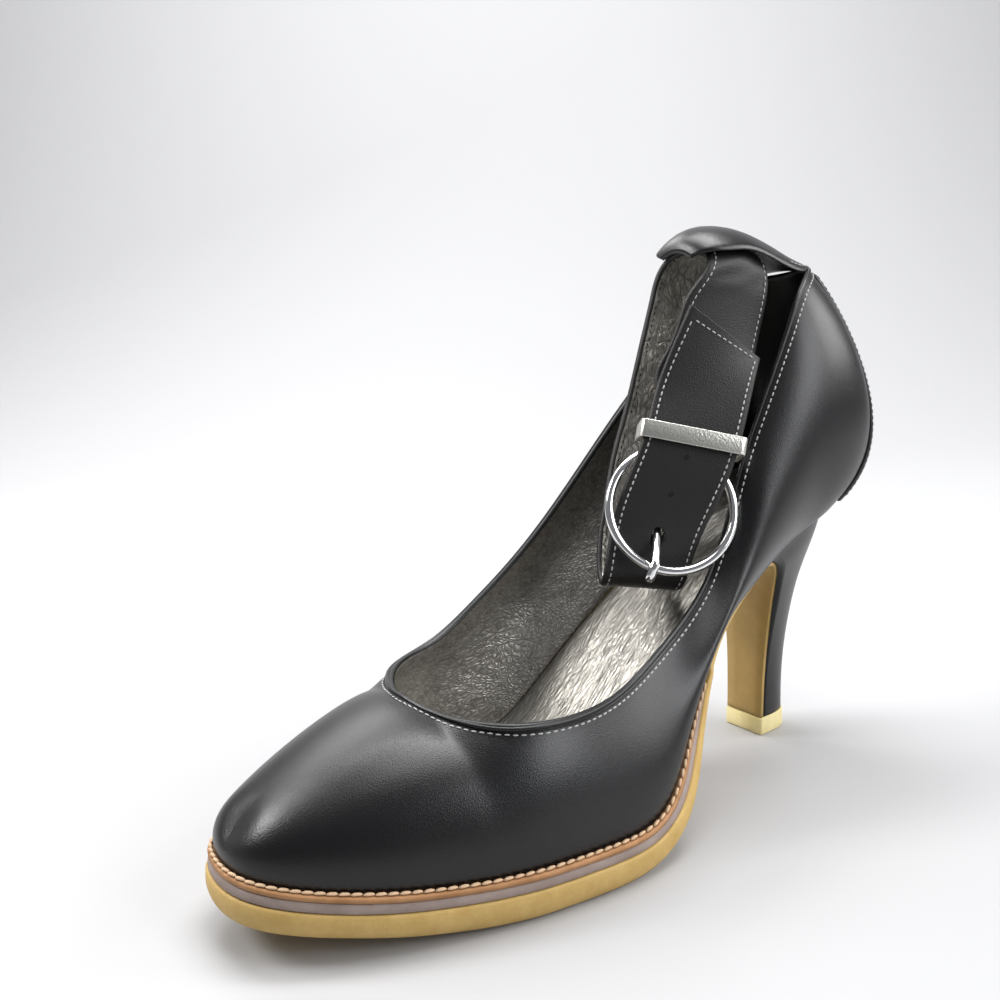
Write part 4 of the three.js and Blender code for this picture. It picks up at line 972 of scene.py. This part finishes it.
# how far in and how deep each ring of a plate lies
weltRings = [(0.45, lambda p: 0 * p), (0.1, lambda p: 0.12 + 0 * p), (0.0, lambda p: weltDrop(p) * 0.5),
             (0.2, weltDrop)]
midsoleRings = [(0.7, lambda p: midTop(p) - 0.15), (0.35, lambda p: midTop(p) + 0.1),
                (0.3, lambda p: (midTop(p) + midDrop(p)) / 2), (0.35, lambda p: midDrop(p) - 0.1),
                (0.7, lambda p: midDrop(p) + 0.15)]
addPiece("weltStrip", plateParts(soleCurves, toePlaces, weltRings), weltTan, "tan_welt", "welt")
addPiece("midsoleStrip", plateParts(soleCurves, toePlaces, midsoleRings), midsoleGrey, "grey_midsole", "midsole")


def outsoleDrop(back, share):
    return lambda p: stackAt(p) - np.minimum(back, share * (stackAt(p) - outTop(p)))


outsoleRings = [
    (0.7, outTop), (0.2, lambda p: outTop(p) + 0.15),
    (0.0, lambda p: outTop(p) + np.minimum(0.8, 0.3 * (stackAt(p) - outTop(p)))),
    (0.15, outsoleDrop(5.0, 0.62)), (0.45, outsoleDrop(3.2, 0.4)), (0.75, outsoleDrop(2.3, 0.3)),
    (1.1, outsoleDrop(1.5, 0.2)), (1.55, outsoleDrop(0.85, 0.125)), (2.1, outsoleDrop(0.45, 0.07)),
    (2.75, outsoleDrop(0.12, 0.02)), (3.5, stackAt)]
addPiece("outsoleCrepe", plateParts(soleCurves, shankPlaces, outsoleRings), outsoleOchre, "ochre_sole", "outsole")

# welt stitches lie like a cord along the foot of the upper
rows = []
for curve, sign in ((upperLateral, 1), (upperMedial, -1)):
    places = np.arange(0, 14.0, 0.05)
    p = curve(places)
    d = curve(places + 0.05) - curve(places - 0.05)
    normal = np.stack([sign * d[:, 1], -sign * d[:, 0]], 1) / np.linalg.norm(d, axis=1, keepdims=True)
    p = p + normal * weltMake["out"]
    line = onBed(p[:, 0], p[:, 1], -0.35)
    spots, along = resample(line, weltMake["pitch"])
    nx, nz = bedAt(spots[:, 0])[1:]
    rows.append((spots, along, np.stack([nx, 0 * nx, nz], 1)))
settle(addStitches("weltStitches", rows, weltThread, weltMake["stitch"], weltMake["stitchRadius"], slant=0.16),
       "tan_welt")
print("sole ready")

# sock: foil leather with long soft wrinkles
sockMake = {"inset": 2.35, "wrinkle": 0.35, "across": 28}
edges = outline(upperCurves, sockPlaces, sockMake["inset"])
edges[0][0] = edges[1][0] = (edges[0][0] + edges[1][0]) / 2
edges[0][-1] = edges[1][-1] = (edges[0][-1] + edges[1][-1]) / 2
shares = np.linspace(0, 1, sockMake["across"] + 1)


def sockLayer(drop, wrinkled):
    layer = []
    for a, b in zip(edges[0], edges[1]):
        p = a + (b - a) * shares[:, None]
        rise = 0
        if wrinkled:
            inner = np.minimum(shares, 1 - shares)
            fade = ease(inner, 0, 0.12)
            rise = sockMake["wrinkle"] * fade * (np.sin(p[:, 1] * 1.15 + 0.8 * np.sin(p[:, 0] * 0.07))
                                                + 0.6 * np.sin(p[:, 1] * 2.3 - p[:, 0] * 0.05 + 1.3)) * 0.5
            rise = rise - 0.25 * (1 - fade)
        layer.append(onBed(p[:, 0], p[:, 1], drop - rise))
    return np.array(layer)


addPiece("sockLining",
         slabParts(sockLayer(-pump["gap"] - pump["sockThick"], True), sockLayer(-pump["gap"], False)),
         sockFoil, "pewter_lining", "insole")
print("sock ready")

# heel, breast and top lift
breastTable = np.array(breastRows, float)
breastTable[0, 1] = pump["liftHeight"] + pump["gap"]
breastCurve = spline(np.arange(len(breastTable)), breastTable)
heelTable = np.array(heelRows, float)
heelTable[0, 1] = pump["liftHeight"] + pump["gap"]
heelCurve = spline(np.arange(len(heelTable)), heelTable)


def breastAt(place, depth):
    row = breastCurve(place)[0]
    d = (breastCurve(min(7, place + 0.05)) - breastCurve(max(0, place - 0.05)))[0]
    length = math.hypot(d[0], d[1])
    return row[0] - d[1] / length * depth, row[1] + d[0] / length * depth, row[2], row[3]


def tipOutline(front, back, left, right, square, steps=22):
    a = np.linspace(0, 1, steps + 1) ** 0.8
    wide = np.clip(1 - a ** square, 0, None) ** (1 / square)
    a = np.concatenate([a, a[-2::-1]])
    wide = np.concatenate([wide * left, -wide[-2::-1] * right])
    return np.stack([front[0] + a * (back[0] - front[0]), wide, front[1] + a * (back[1] - front[1])], 1)


def tilted(points, share):
    points = np.array(points, float)
    points[:, 2] += lean(points[:, 0], points[:, 1]) * share
    return points


def loftParts(rings):
    count = len(rings[0])
    faces = loopFaces(len(rings), count)
    faces += [tuple(range(count)), tuple(range((len(rings) - 1) * count, len(rings) * count))]
    return np.vstack(rings), faces


heelMake = {"behindBreast": 1.7, "square": 2.5, "levels": 41, "lastLevel": 20 / 3, "sheet": 1.4,
            "liftSquare": 3.2}
seatLevel = 7
rings = []
for level in np.linspace(0, heelMake["lastLevel"], heelMake["levels"]):
    bx, bz, left, right = heelCurve(level)[0]
    front = list(breastAt(level, heelMake["behindBreast"])[:2])
    if level == 0:
        front[1] = bz
    outer = tipOutline(front, (bx, bz), left, right, heelMake["square"])
    rings.append(tilted(outer, (level / seatLevel) ** 2))
endFront = breastAt(heelMake["lastLevel"], heelMake["behindBreast"])[:2]
seatFront = (endFront[0], bedAt(np.array([endFront[0]]))[0][0] - 0.05)
for front, row, rise in ((endFront, heelTable[7], heelMake["lastLevel"] / seatLevel), (seatFront, heelTable[8], 1)):
    rings.append(tilted(tipOutline(front, row[:2], row[2], row[3], heelMake["square"]), rise ** 2))
addPiece("heelCover", loftParts(rings), calf, "heel_cover", "heel")

front, back = [], []
cross = np.array([1, 0.985, 0.5, 0, -0.5, -0.985, -1])
soft = np.array([0.35, 0.08, 0, 0, 0, 0.08, 0.35])
for place in np.linspace(0, seatLevel, 57):
    ax, az, left, right = breastAt(place, 0)
    bx, bz = breastAt(place, heelMake["sheet"])[:2]
    rise = (place / seatLevel) ** 2
    halfWide = cross * np.where(cross > 0, left, right)
    front.append(tilted(np.stack([ax + (bx - ax) * soft, halfWide, az + (bz - az) * soft], 1), rise))
    back.append(tilted(np.stack([bx + 0 * cross, halfWide, bz + 0 * cross], 1), rise))
addPiece("breastSheet", slabParts(np.array(front), np.array(back)), breastOchre, "ochre_breast", "heel_breast")

bx, _, left, right = heelTable[0]
tipFront = breastAt(0, 0)[0]
rings = [tipOutline((tipFront - i, h), (bx + i, h), left - i, right - i, heelMake["liftSquare"]) for h, i in
         ((0, 0.45), (0.25, 0.12), (0.6, 0), (pump["liftHeight"] - 0.5, 0), (pump["liftHeight"] - 0.12, 0.1),
          (pump["liftHeight"], 0.4))]
addPiece("topLift", loftParts(rings), liftPale, "pale_lift", "top_lift")
print("heel ready")


# strap
class Ribbon:
    def __init__(self, rows):
        self.rows = np.array(rows, float)
        middle = (self.rows[:, :3] + self.rows[:, 3:6]) / 2
        self.places = runLength(middle)
        self.curve = spline(self.places, self.rows)

    def at(self, place, across, depth):
        row = self.curve(place)[0]
        d = (self.curve(place + 0.4) - self.curve(place - 0.4))[0]
        along = (d[:3] + d[3:6]) / 2
        wide = row[3:6] - row[:3]
        normal = unit(np.cross(along, wide))
        across = np.atleast_1d(np.asarray(across, float))
        t = ((across + 1) / 2)[:, None]
        bulge = row[6] * (1 - across ** 2)
        depth = np.broadcast_to(np.asarray(depth, float), across.shape)
        return row[:3] * (1 - t) + row[3:6] * t + (bulge + depth)[:, None] * normal

    def frameAt(self, place):
        row = self.curve(place)[0]
        d = (self.curve(place + 0.4) - self.curve(place - 0.4))[0]
        along = unit((d[:3] + d[3:6]) / 2)
        wide = row[3:6] - row[:3]
        return along, wide, unit(np.cross(along, wide))


band = Ribbon(strapRows)
ringPlace = band.places[17] - 1.5
bandCentre = band.at(ringPlace, 0, 0)[0]
bandUp = unit(band.at(band.places[18], 0, 0)[0] - band.at(band.places[16] + 3, 0, 0)[0])
bandOut = band.at(ringPlace, 0, 1)[0] - bandCentre
bandOut = unit(bandOut - bandUp * np.dot(bandOut, bandUp))
bandWide = np.cross(bandOut, bandUp)
tilt = math.radians(pump["ringTilt"])
ringCentre = bandCentre - 0.5 * bandOut - pump["ringShift"] * bandWide
ringUp = bandUp * math.cos(tilt) - bandOut * math.sin(tilt)
ringOut = np.cross(ringUp, bandWide)
topWire = ringCentre + ringUp * pump["ringRadius"]
lowWire = ringCentre - ringUp * pump["ringRadius"]
foldRoom = pump["ringWire"] + pump["strapThick"] / 2 + 0.85
foldRows = [(-foldRoom, -1.7, 5), (-0.67 * foldRoom, -4, 5), (0.1, -foldRoom - 1.5, 5), (foldRoom, 0.9, 5),
            (foldRoom - 0.1, 8, 6.2)]
foldSizes = []
for out, up, half in foldRows:
    centre = topWire + bandUp * up + bandOut * out + bandWide * 0.3
    foldSizes.append([*(centre - bandWide * half), *(centre + bandWide * half), 0])
strap = Ribbon(foldSizes + [list(r) for r in strapRows])
lap = len(foldRows)

strapMake = {"across": 22, "pitch": 1.3, "round": 0.8, "wrinkle": 0.6, "stitchIn": 2.0, "stitchPitch": 2.0}
strapPlaces = np.concatenate([np.linspace(0, strap.places[lap], 40)[:-1],
                              np.arange(strap.places[lap], strap.places[-1], strapMake["pitch"]),
                              [strap.places[-1]]])
prongMake = {"wire": 1.2, "hookWire": 0.5, "hookSteps": 6, "behindGap": 0.7, "frontGap": 0.25, "slotUp": 13.5,
             "slotRadius": 2.0, "notchHalf": 1.75, "notchDown": -6.5, "notchUp": 4.6}
lowAlong = np.dot(lowWire - bandCentre, bandUp)
lowOut = pump["ringWire"] + prongMake["wire"] + prongMake["frontGap"]
behind = bandCentre - bandOut * (pump["strapThick"] / 2 + prongMake["wire"] + prongMake["behindGap"])
slotFrom = behind + bandUp * (lowAlong + prongMake["slotUp"])
slotTo = lowWire + bandUp * 0.5 + bandOut * lowOut
points = []
half = pump["strapThick"] / 2
crossShares = np.linspace(-1, 1, strapMake["across"] + 1)
edgeSteps = 4
for place in strapPlaces:
    along, wide, normal = strap.frameAt(place)
    width = np.linalg.norm(wide) / 2
    wideUnit = wide / (2 * width)
    inner = 1 - strapMake["round"] / width
    shares = crossShares * inner
    nearTop = ease(place, strap.places[lap + 2], strap.places[lap + 3]) * (
        1 - ease(place, strap.places[lap + 4], strap.places[lap + 6]))
    calm = 1 - shares ** 4  # no folds at the edges
    crease = 0.35 * nearTop * np.sin(place * 0.9 + shares * 2.4) * np.sin(shares * 2.2 + 0.7) * calm
    top = strap.at(place, shares, half + crease)
    wrinkle = strapMake["wrinkle"] * (np.sin(place * 0.62 + 1.4 * np.sin(shares * 2.1)) * 0.5
                                      + 0.5 * np.sin(place * 0.27 + shares * 3.0)) * calm
    low = strap.at(place, shares[::-1], -half + wrinkle[::-1] * (0.0 if place < strap.places[lap] else 1.0))
    right, left = strap.at(place, [inner], 0)[0], strap.at(place, [-inner], 0)[0]
    angles = np.pi * np.arange(1, edgeSteps) / edgeSteps
    steps = [(wideUnit * strapMake["round"] * math.sin(a), normal * half * math.cos(a)) for a in angles]
    edgeRight = [right + sideways + over for sideways, over in steps]
    edgeLeft = [left - sideways - over for sideways, over in steps]
    points.append(np.vstack([top, edgeRight, low, edgeLeft]))
loopCount = len(points[0])
points = np.vstack(points)
faces = loopFaces(len(strapPlaces), loopCount)
wideCount = len(crossShares)
liningFrom = wideCount + edgeSteps - 2
kinds = [int(liningFrom < f[0] % loopCount < liningFrom + wideCount) for f in faces]
faces += [tuple(range(loopCount)), tuple(range(len(points) - loopCount, len(points)))]
kinds += [0, 0]
strapPiece = addMesh("strapRibbon", points, faces, [strapCalf, strapFoilPaintedLight], kinds)


def cutterRod(name, a, b, radius, sides=16):
    p, f = rodParts(np.array([a, (np.array(a) + b) / 2, b]), radius, sides, up=bandWide)
    return addMesh(name, p, f, [paintedShadeBlack])


def cutWith(piece, cutter):
    cut = piece.modifiers.new("cut", "BOOLEAN")
    cut.object = cutter
    cut.operation = "DIFFERENCE"
    cut.solver = "EXACT"
    bpy.context.view_layer.update()
    graph = bpy.context.evaluated_depsgraph_get()
    mesh = bpy.data.meshes.new_from_object(piece.evaluated_get(graph))
    piece.modifiers.clear()
    old = piece.data
    piece.data = mesh
    bpy.data.meshes.remove(old)
    bpy.data.objects.remove(cutter, do_unlink=True)


cutWith(strapPiece, cutterRod("slotTool", slotFrom, slotTo, prongMake["slotRadius"]))
corners = [topWire + bandUp * u + bandOut * o + bandWide * w
           for u in (prongMake["notchDown"], prongMake["notchUp"])
           for o in (-5.0, pump["ringWire"] + 2.15) for w in (-prongMake["notchHalf"], prongMake["notchHalf"])]
boxFaces = [(0, 1, 3, 2), (4, 6, 7, 5), (0, 4, 5, 1), (2, 3, 7, 6), (0, 2, 6, 4), (1, 5, 7, 3)]
cutWith(strapPiece, addMesh("notchTool", corners, boxFaces, [calf], smooth=False))
settle(strapPiece, "strap_leather", "ankle_strap")
print("strap ready")

# punched holes below and above the prong's own, drawn as dark dishes of painted shade, and the stitch rows
holeMake = {"row": 17, "shifts": (14.1, 2.5), "radius": 0.85, "bottom": 0.65, "deep": 0.02, "sides": 20}
holeSides = holeMake["sides"]
holePoints, holeFaces = [], []
for shift in holeMake["shifts"]:
    place = strap.places[lap + holeMake["row"]] + shift
    along, wide, normal = strap.frameAt(place)
    centre = strap.at(place, 0, half + 0.03)[0]
    start = len(holePoints)
    w = unit(wide)
    for radius, drop in ((holeMake["radius"], 0.0), (holeMake["bottom"], holeMake["deep"])):
        for k in range(holeSides):
            a = 2 * math.pi * k / holeSides
            holePoints.append(centre + radius * (w * math.cos(a) + along * math.sin(a)) + normal * drop)
    for k in range(holeSides):
        n = (k + 1) % holeSides
        holeFaces.append((start + k, start + n, start + holeSides + n, start + holeSides + k))
    holeFaces.append(tuple(start + holeSides + k for k in range(holeSides)))
settle(addMesh("strapHoles", holePoints, holeFaces, [paintedShadeBlack], closed=False), "strap_leather")


def strapRow(inset, depth, fromPlace, toPlace, sense):
    line, normals = [], []
    for place in np.arange(fromPlace, toPlace, 0.5):
        along, wide, normal = strap.frameAt(place)
        width = np.linalg.norm(wide) / 2
        share = (1 - abs(inset) / width) * (1 if inset > 0 else -1)
        line.append(strap.at(place, share, depth)[0])
        normals.append(normal * sense)
    line = np.array(line)
    spots, along = resample(line, strapMake["stitchPitch"])
    nearest = [int(np.argmin(np.linalg.norm(line - s, axis=1))) for s in spots]
    return spots, along, np.array([normals[i] for i in nearest])


ends = (strap.places[lap] + 1, strap.places[-1] - 2.5)
outerRows = [strapRow(s * strapMake["stitchIn"], half + 0.05, *ends, 1) for s in (1, -1)]
tipRow = [strap.at(strap.places[-1] - 2.2, share, half + 0.05)[0] for share in np.linspace(-0.8, 0.8, 30)]
spots, along = resample(tipRow, 2.0)
outerRows.append((spots, along, np.repeat([strap.frameAt(strap.places[-1] - 2.2)[2]], len(spots), 0)))
settle(addStitches("strapStitches", outerRows, whiteThread, 1.4, 0.23), "strap_leather")
innerRows = [strapRow(s * strapMake["stitchIn"], -half + 0.02, *ends, -1) for s in (1, -1)]
settle(addStitches("strapInnerStitches", innerRows, darkThread, 1.2, 0.22), "strap_leather")
print("strap stitches ready")

# tongue over the strap's middle
tongueMake = {"thick": 1.5, "across": 24, "along": 46, "stitchIn": 1.7 / 13, "stitchLift": 0.03, "pitch": 2.0}
tongueTable = np.array(tongueRows, float)
tongueCurve = spline(np.arange(len(tongueTable)), tongueTable)
tonguePlaces = np.linspace(0, len(tongueTable) - 1, tongueMake["along"])
tongueShares = np.sin(np.linspace(-np.pi / 2, np.pi / 2, tongueMake["across"] + 1))


def tonguePoint(place, share, depth):
    row = tongueCurve(place)[0]
    d = (tongueCurve(min(len(tongueTable) - 1, place + 0.1)) - tongueCurve(max(0, place - 0.1)))[0]
    length = math.hypot(d[0], d[1])
    nx, nz = -d[1] / length, d[0] / length
    share = np.atleast_1d(np.asarray(share, float))
    fall = 2 * row[3] * share
    side = np.hypot(row[2], fall)
    return np.stack([row[0] - nx * depth + 0 * share, share * row[2] - depth * fall / side,
                     row[1] - row[3] * share ** 2 - nz * depth * row[2] / side], 1)


def tongueLayer(depth):
    layer = []
    for place in tonguePlaces:
        ends = min(place, len(tongueTable) - 1 - place)
        rim = np.minimum(1 - np.abs(tongueShares), ends * 0.35)
        sink = tongueMake["thick"] * 0.45 * np.clip(1 - rim / 0.07, 0, 1) ** 2
        base = tonguePoint(place, tongueShares, depth)
        other = tonguePoint(place, tongueShares, tongueMake["thick"] / 2)
        share = (sink / (tongueMake["thick"] / 2))[:, None]
        layer.append(base * (1 - share) + other * share)
    return np.array(layer)


addPiece("tongueLeather", slabParts(tongueLayer(0), tongueLayer(tongueMake["thick"])), calf, "black_leather",
         "back_tongue")
lift = -tongueMake["stitchLift"]
edgeShare = 1 - tongueMake["stitchIn"]
lines = [([tonguePoint(p, side * edgeShare, lift)[0] for p in np.linspace(0.4, 2.7, 40)], (0, 0.5 * side, 0.86))
         for side in (1, -1)]
lines.append(([tonguePoint(0.5, s, lift)[0] for s in np.linspace(-0.85, 0.85, 40)], (-0.3, 0, 0.95)))
rows = []
for line, outwards in lines:
    spots, along = resample(line, tongueMake["pitch"])
    rows.append((spots, along, np.repeat([outwards], len(spots), 0)))
settle(addStitches("tongueStitches", rows, whiteThread), "black_leather")
print("tongue ready")

# ring, prong, keeper
angles = 2 * np.pi * np.arange(120) / 120
around = np.cos(angles)[:, None] * ringUp + np.sin(angles)[:, None] * bandWide
ringLine = ringCentre + pump["ringRadius"] * around
addPiece("buckleRing", rodParts(ringLine, pump["ringWire"], 24, closed=True, up=ringOut), silver, "bright_metal",
         "buckle_ring")

hook = pump["ringWire"] + prongMake["hookWire"] + 0.15
hookSteps = prongMake["hookSteps"]
prongLine = []
for i in range(hookSteps):
    a = math.radians(-100 + 190 * i / (hookSteps - 1))
    prongLine.append(topWire + bandUp * hook * math.cos(a) + bandOut * hook * math.sin(a))
prongLine += [behind + bandUp * (lowAlong + 15), behind + bandUp * (lowAlong + 12)]
prongLine += [lowWire + bandUp * u + bandOut * o for u, o in
              ((1.6, lowOut), (0, lowOut + 0.1), (-2, lowOut - 0.2), (-4.2, lowOut - 1))]
prongLine = np.array(prongLine)
prongRadius = np.array([prongMake["hookWire"]] * hookSteps + [prongMake["wire"]] * 2 + [1.25, 1.4, 1.45, 1.3])
length = runLength(prongLine)
fine = np.unique(np.concatenate([np.linspace(0, length[-1], 90), length]))
fineLine = np.stack([np.interp(fine, length, prongLine[:, c]) for c in range(3)], 1)
fineRadius = np.interp(fine, length, prongRadius)
tipShare = np.clip((length[-1] - fine) / 1.1, 0, 1)
fineRadius = fineRadius * np.sqrt(np.clip(1 - (1 - tipShare) ** 2, 0.02, 1))
addPiece("bucklePin", rodParts(fineLine, fineRadius, 16, up=bandWide), silver, "bright_metal", "buckle_prong")

keeperMake = {"wall": 0.9, "height": 5.3, "round": 0.9, "soft": 0.25, "row": 18, "shift": 4.2, "room": 0.9,
              "back": -8.9}
place = band.places[keeperMake["row"]] + keeperMake["shift"]
centre = band.at(place, 0, 0)[0]
wide = band.at(place, 1, 0)[0] - band.at(place, -1, 0)[0]
halfWidth = np.linalg.norm(wide) / 2 + keeperMake["room"]
wide = unit(wide)
out = unit(band.at(place, 0, 1)[0] - centre)
up = -unit(np.cross(wide, out))
if up[2] < 0:
    up = -up
keeperFront, keeperBack = pump["strapThick"] / 2 + keeperMake["room"], keeperMake["back"]


def keeperLoop(grow, height):
    corners = []
    radius = keeperMake["round"] + grow
    for a, b, turn in ((halfWidth + grow, keeperFront + grow, 0), (-halfWidth - grow, keeperFront + grow, 1),
                       (-halfWidth - grow, keeperBack - grow, 2), (halfWidth + grow, keeperBack - grow, 3)):
        ca = a - math.copysign(radius, a)
        cb = b - math.copysign(radius, b - (keeperFront + keeperBack) / 2)
        for i in range(9):
            angle = (turn + i / 8) * math.pi / 2
            sideways, outwards = ca + radius * math.cos(angle), cb + radius * math.sin(angle)
            corners.append(centre + wide * sideways + out * outwards + up * height)
    return corners


h, s, w = keeperMake["height"] / 2, keeperMake["soft"], keeperMake["wall"]
section = [(0, -h + s), (0.05, -h + 0.08), (s, -h), (w - s, -h), (w - 0.05, -h + 0.08), (w, -h + s),
           (w, h - s), (w - 0.05, h - 0.08), (w - s, h), (s, h), (0.05, h - 0.08), (0, h - s)]
rings = [keeperLoop(grow, height) for grow, height in section]
faces = loopFaces(len(rings), len(rings[0]), wrap=True)
settle(addMesh("keeperLoop", np.vstack(rings), faces, [paleSilver]), "pale_metal", "keeper")
print("metal ready")

# floor, light, camera
stage = {"floor": (0.4, 0.4, 0.405), "world": (0.93, 0.95, 1.0), "worldPower": 0.2, "sweep": 0.9}
away = Vector((-0.5505, -0.8131, 0)).normalized()
across = Vector((-away.y, away.x, 0))
profile = [(-2.5, 0.0), (0.55, 0.0)]
for k in range(1, 17):
    a = math.pi / 2 * k / 16
    profile.append((0.55 + stage["sweep"] * math.sin(a), stage["sweep"] * (1 - math.cos(a))))
profile.append((0.55 + stage["sweep"], 3.0))
sweepPoints = [(away * d + across * w + Vector((0, 0, h))) * 1000 for d, h in profile for w in (-3.0, 3.0)]
floor = addMesh("paleFloor", [tuple(p) for p in sweepPoints],
                [(2 * i, 2 * i + 1, 2 * i + 3, 2 * i + 2) for i in range(len(profile) - 1)], [], closed=False)
floor.data.materials.append(newFinish("floorPaint", stage["floor"], 0.55, specular=0.3)[0])

world = bpy.data.worlds.new("studio")
scene.world = world
world.use_nodes = True
background = world.node_tree.nodes["Background"]
background.inputs["Color"].default_value = (*stage["world"], 1)
background.inputs["Strength"].default_value = stage["worldPower"]

lights = {
    "windowLeft": {"at": (0.75, -0.55, 0.75), "size": (0.45, 0.35), "power": 9, "colour": (1.0, 0.99, 0.98)},
    "windowFar": {"at": (0.1, -0.8, 0.8), "size": (0.6, 0.35), "power": 4.5, "colour": (1.0, 1.0, 1.0)},
    "backRight": {"at": (-0.75, 0.5, 0.6), "size": (0.5, 0.5), "power": 6, "colour": (1.0, 1.0, 1.0)},
    "backdrop": {"at": (-0.2, -0.4, 1.7), "size": (1.6, 0.5), "power": 42, "colour": (1.0, 1.0, 1.0),
                 "towards": (-0.8, -1.2, 0.5)},
    "softAbove": {"at": (0.0, 0.1, 1.0), "size": (0.6, 0.5), "power": 5.5, "colour": (1.0, 1.0, 1.0)},
    "fillRight": {"at": (-0.25, 0.85, 0.55), "size": (0.45, 0.6), "power": 6, "colour": (0.97, 0.98, 1.0)},
}
aim = Vector((0.08, 0.0, 0.07))
for name, look in lights.items():
    lamp = bpy.data.lights.new(name, "AREA")
    lamp.shape = "RECTANGLE"
    lamp.size, lamp.size_y = look["size"]
    lamp.energy = look["power"]
    lamp.color = look["colour"]
    holder = bpy.data.objects.new(name, lamp)
    holder.location = look["at"]
    towards = Vector(look.get("towards", aim))
    holder.rotation_euler = (towards - Vector(look["at"])).to_track_quat("-Z", "Y").to_euler()
    scene.collection.objects.link(holder)

right = Vector((-0.8215902297411726, 0.5678954416237973, -0.04984236929319685))
upward = Vector((-0.14810098169373173, -0.1281952110723168, 0.9806284143749234))
backward = Vector((0.5505048533984056, 0.8130564280792792, 0.18942980532050263))
lens = bpy.data.cameras.new("photoCamera")
lens.sensor_width = 36.0
lens.lens = 36.66
lens.clip_start = 0.01
camera = bpy.data.objects.new("photoCamera", lens)
scene.collection.objects.link(camera)
turn = Matrix((right, upward, backward)).transposed().to_4x4()
turn.translation = Vector((0.2621045580075196, 0.23006697569100606, 0.15007248177092336))
camera.matrix_world = turn
scene.camera = camera
scene.view_settings.view_transform = "Standard"
print("stage ready")
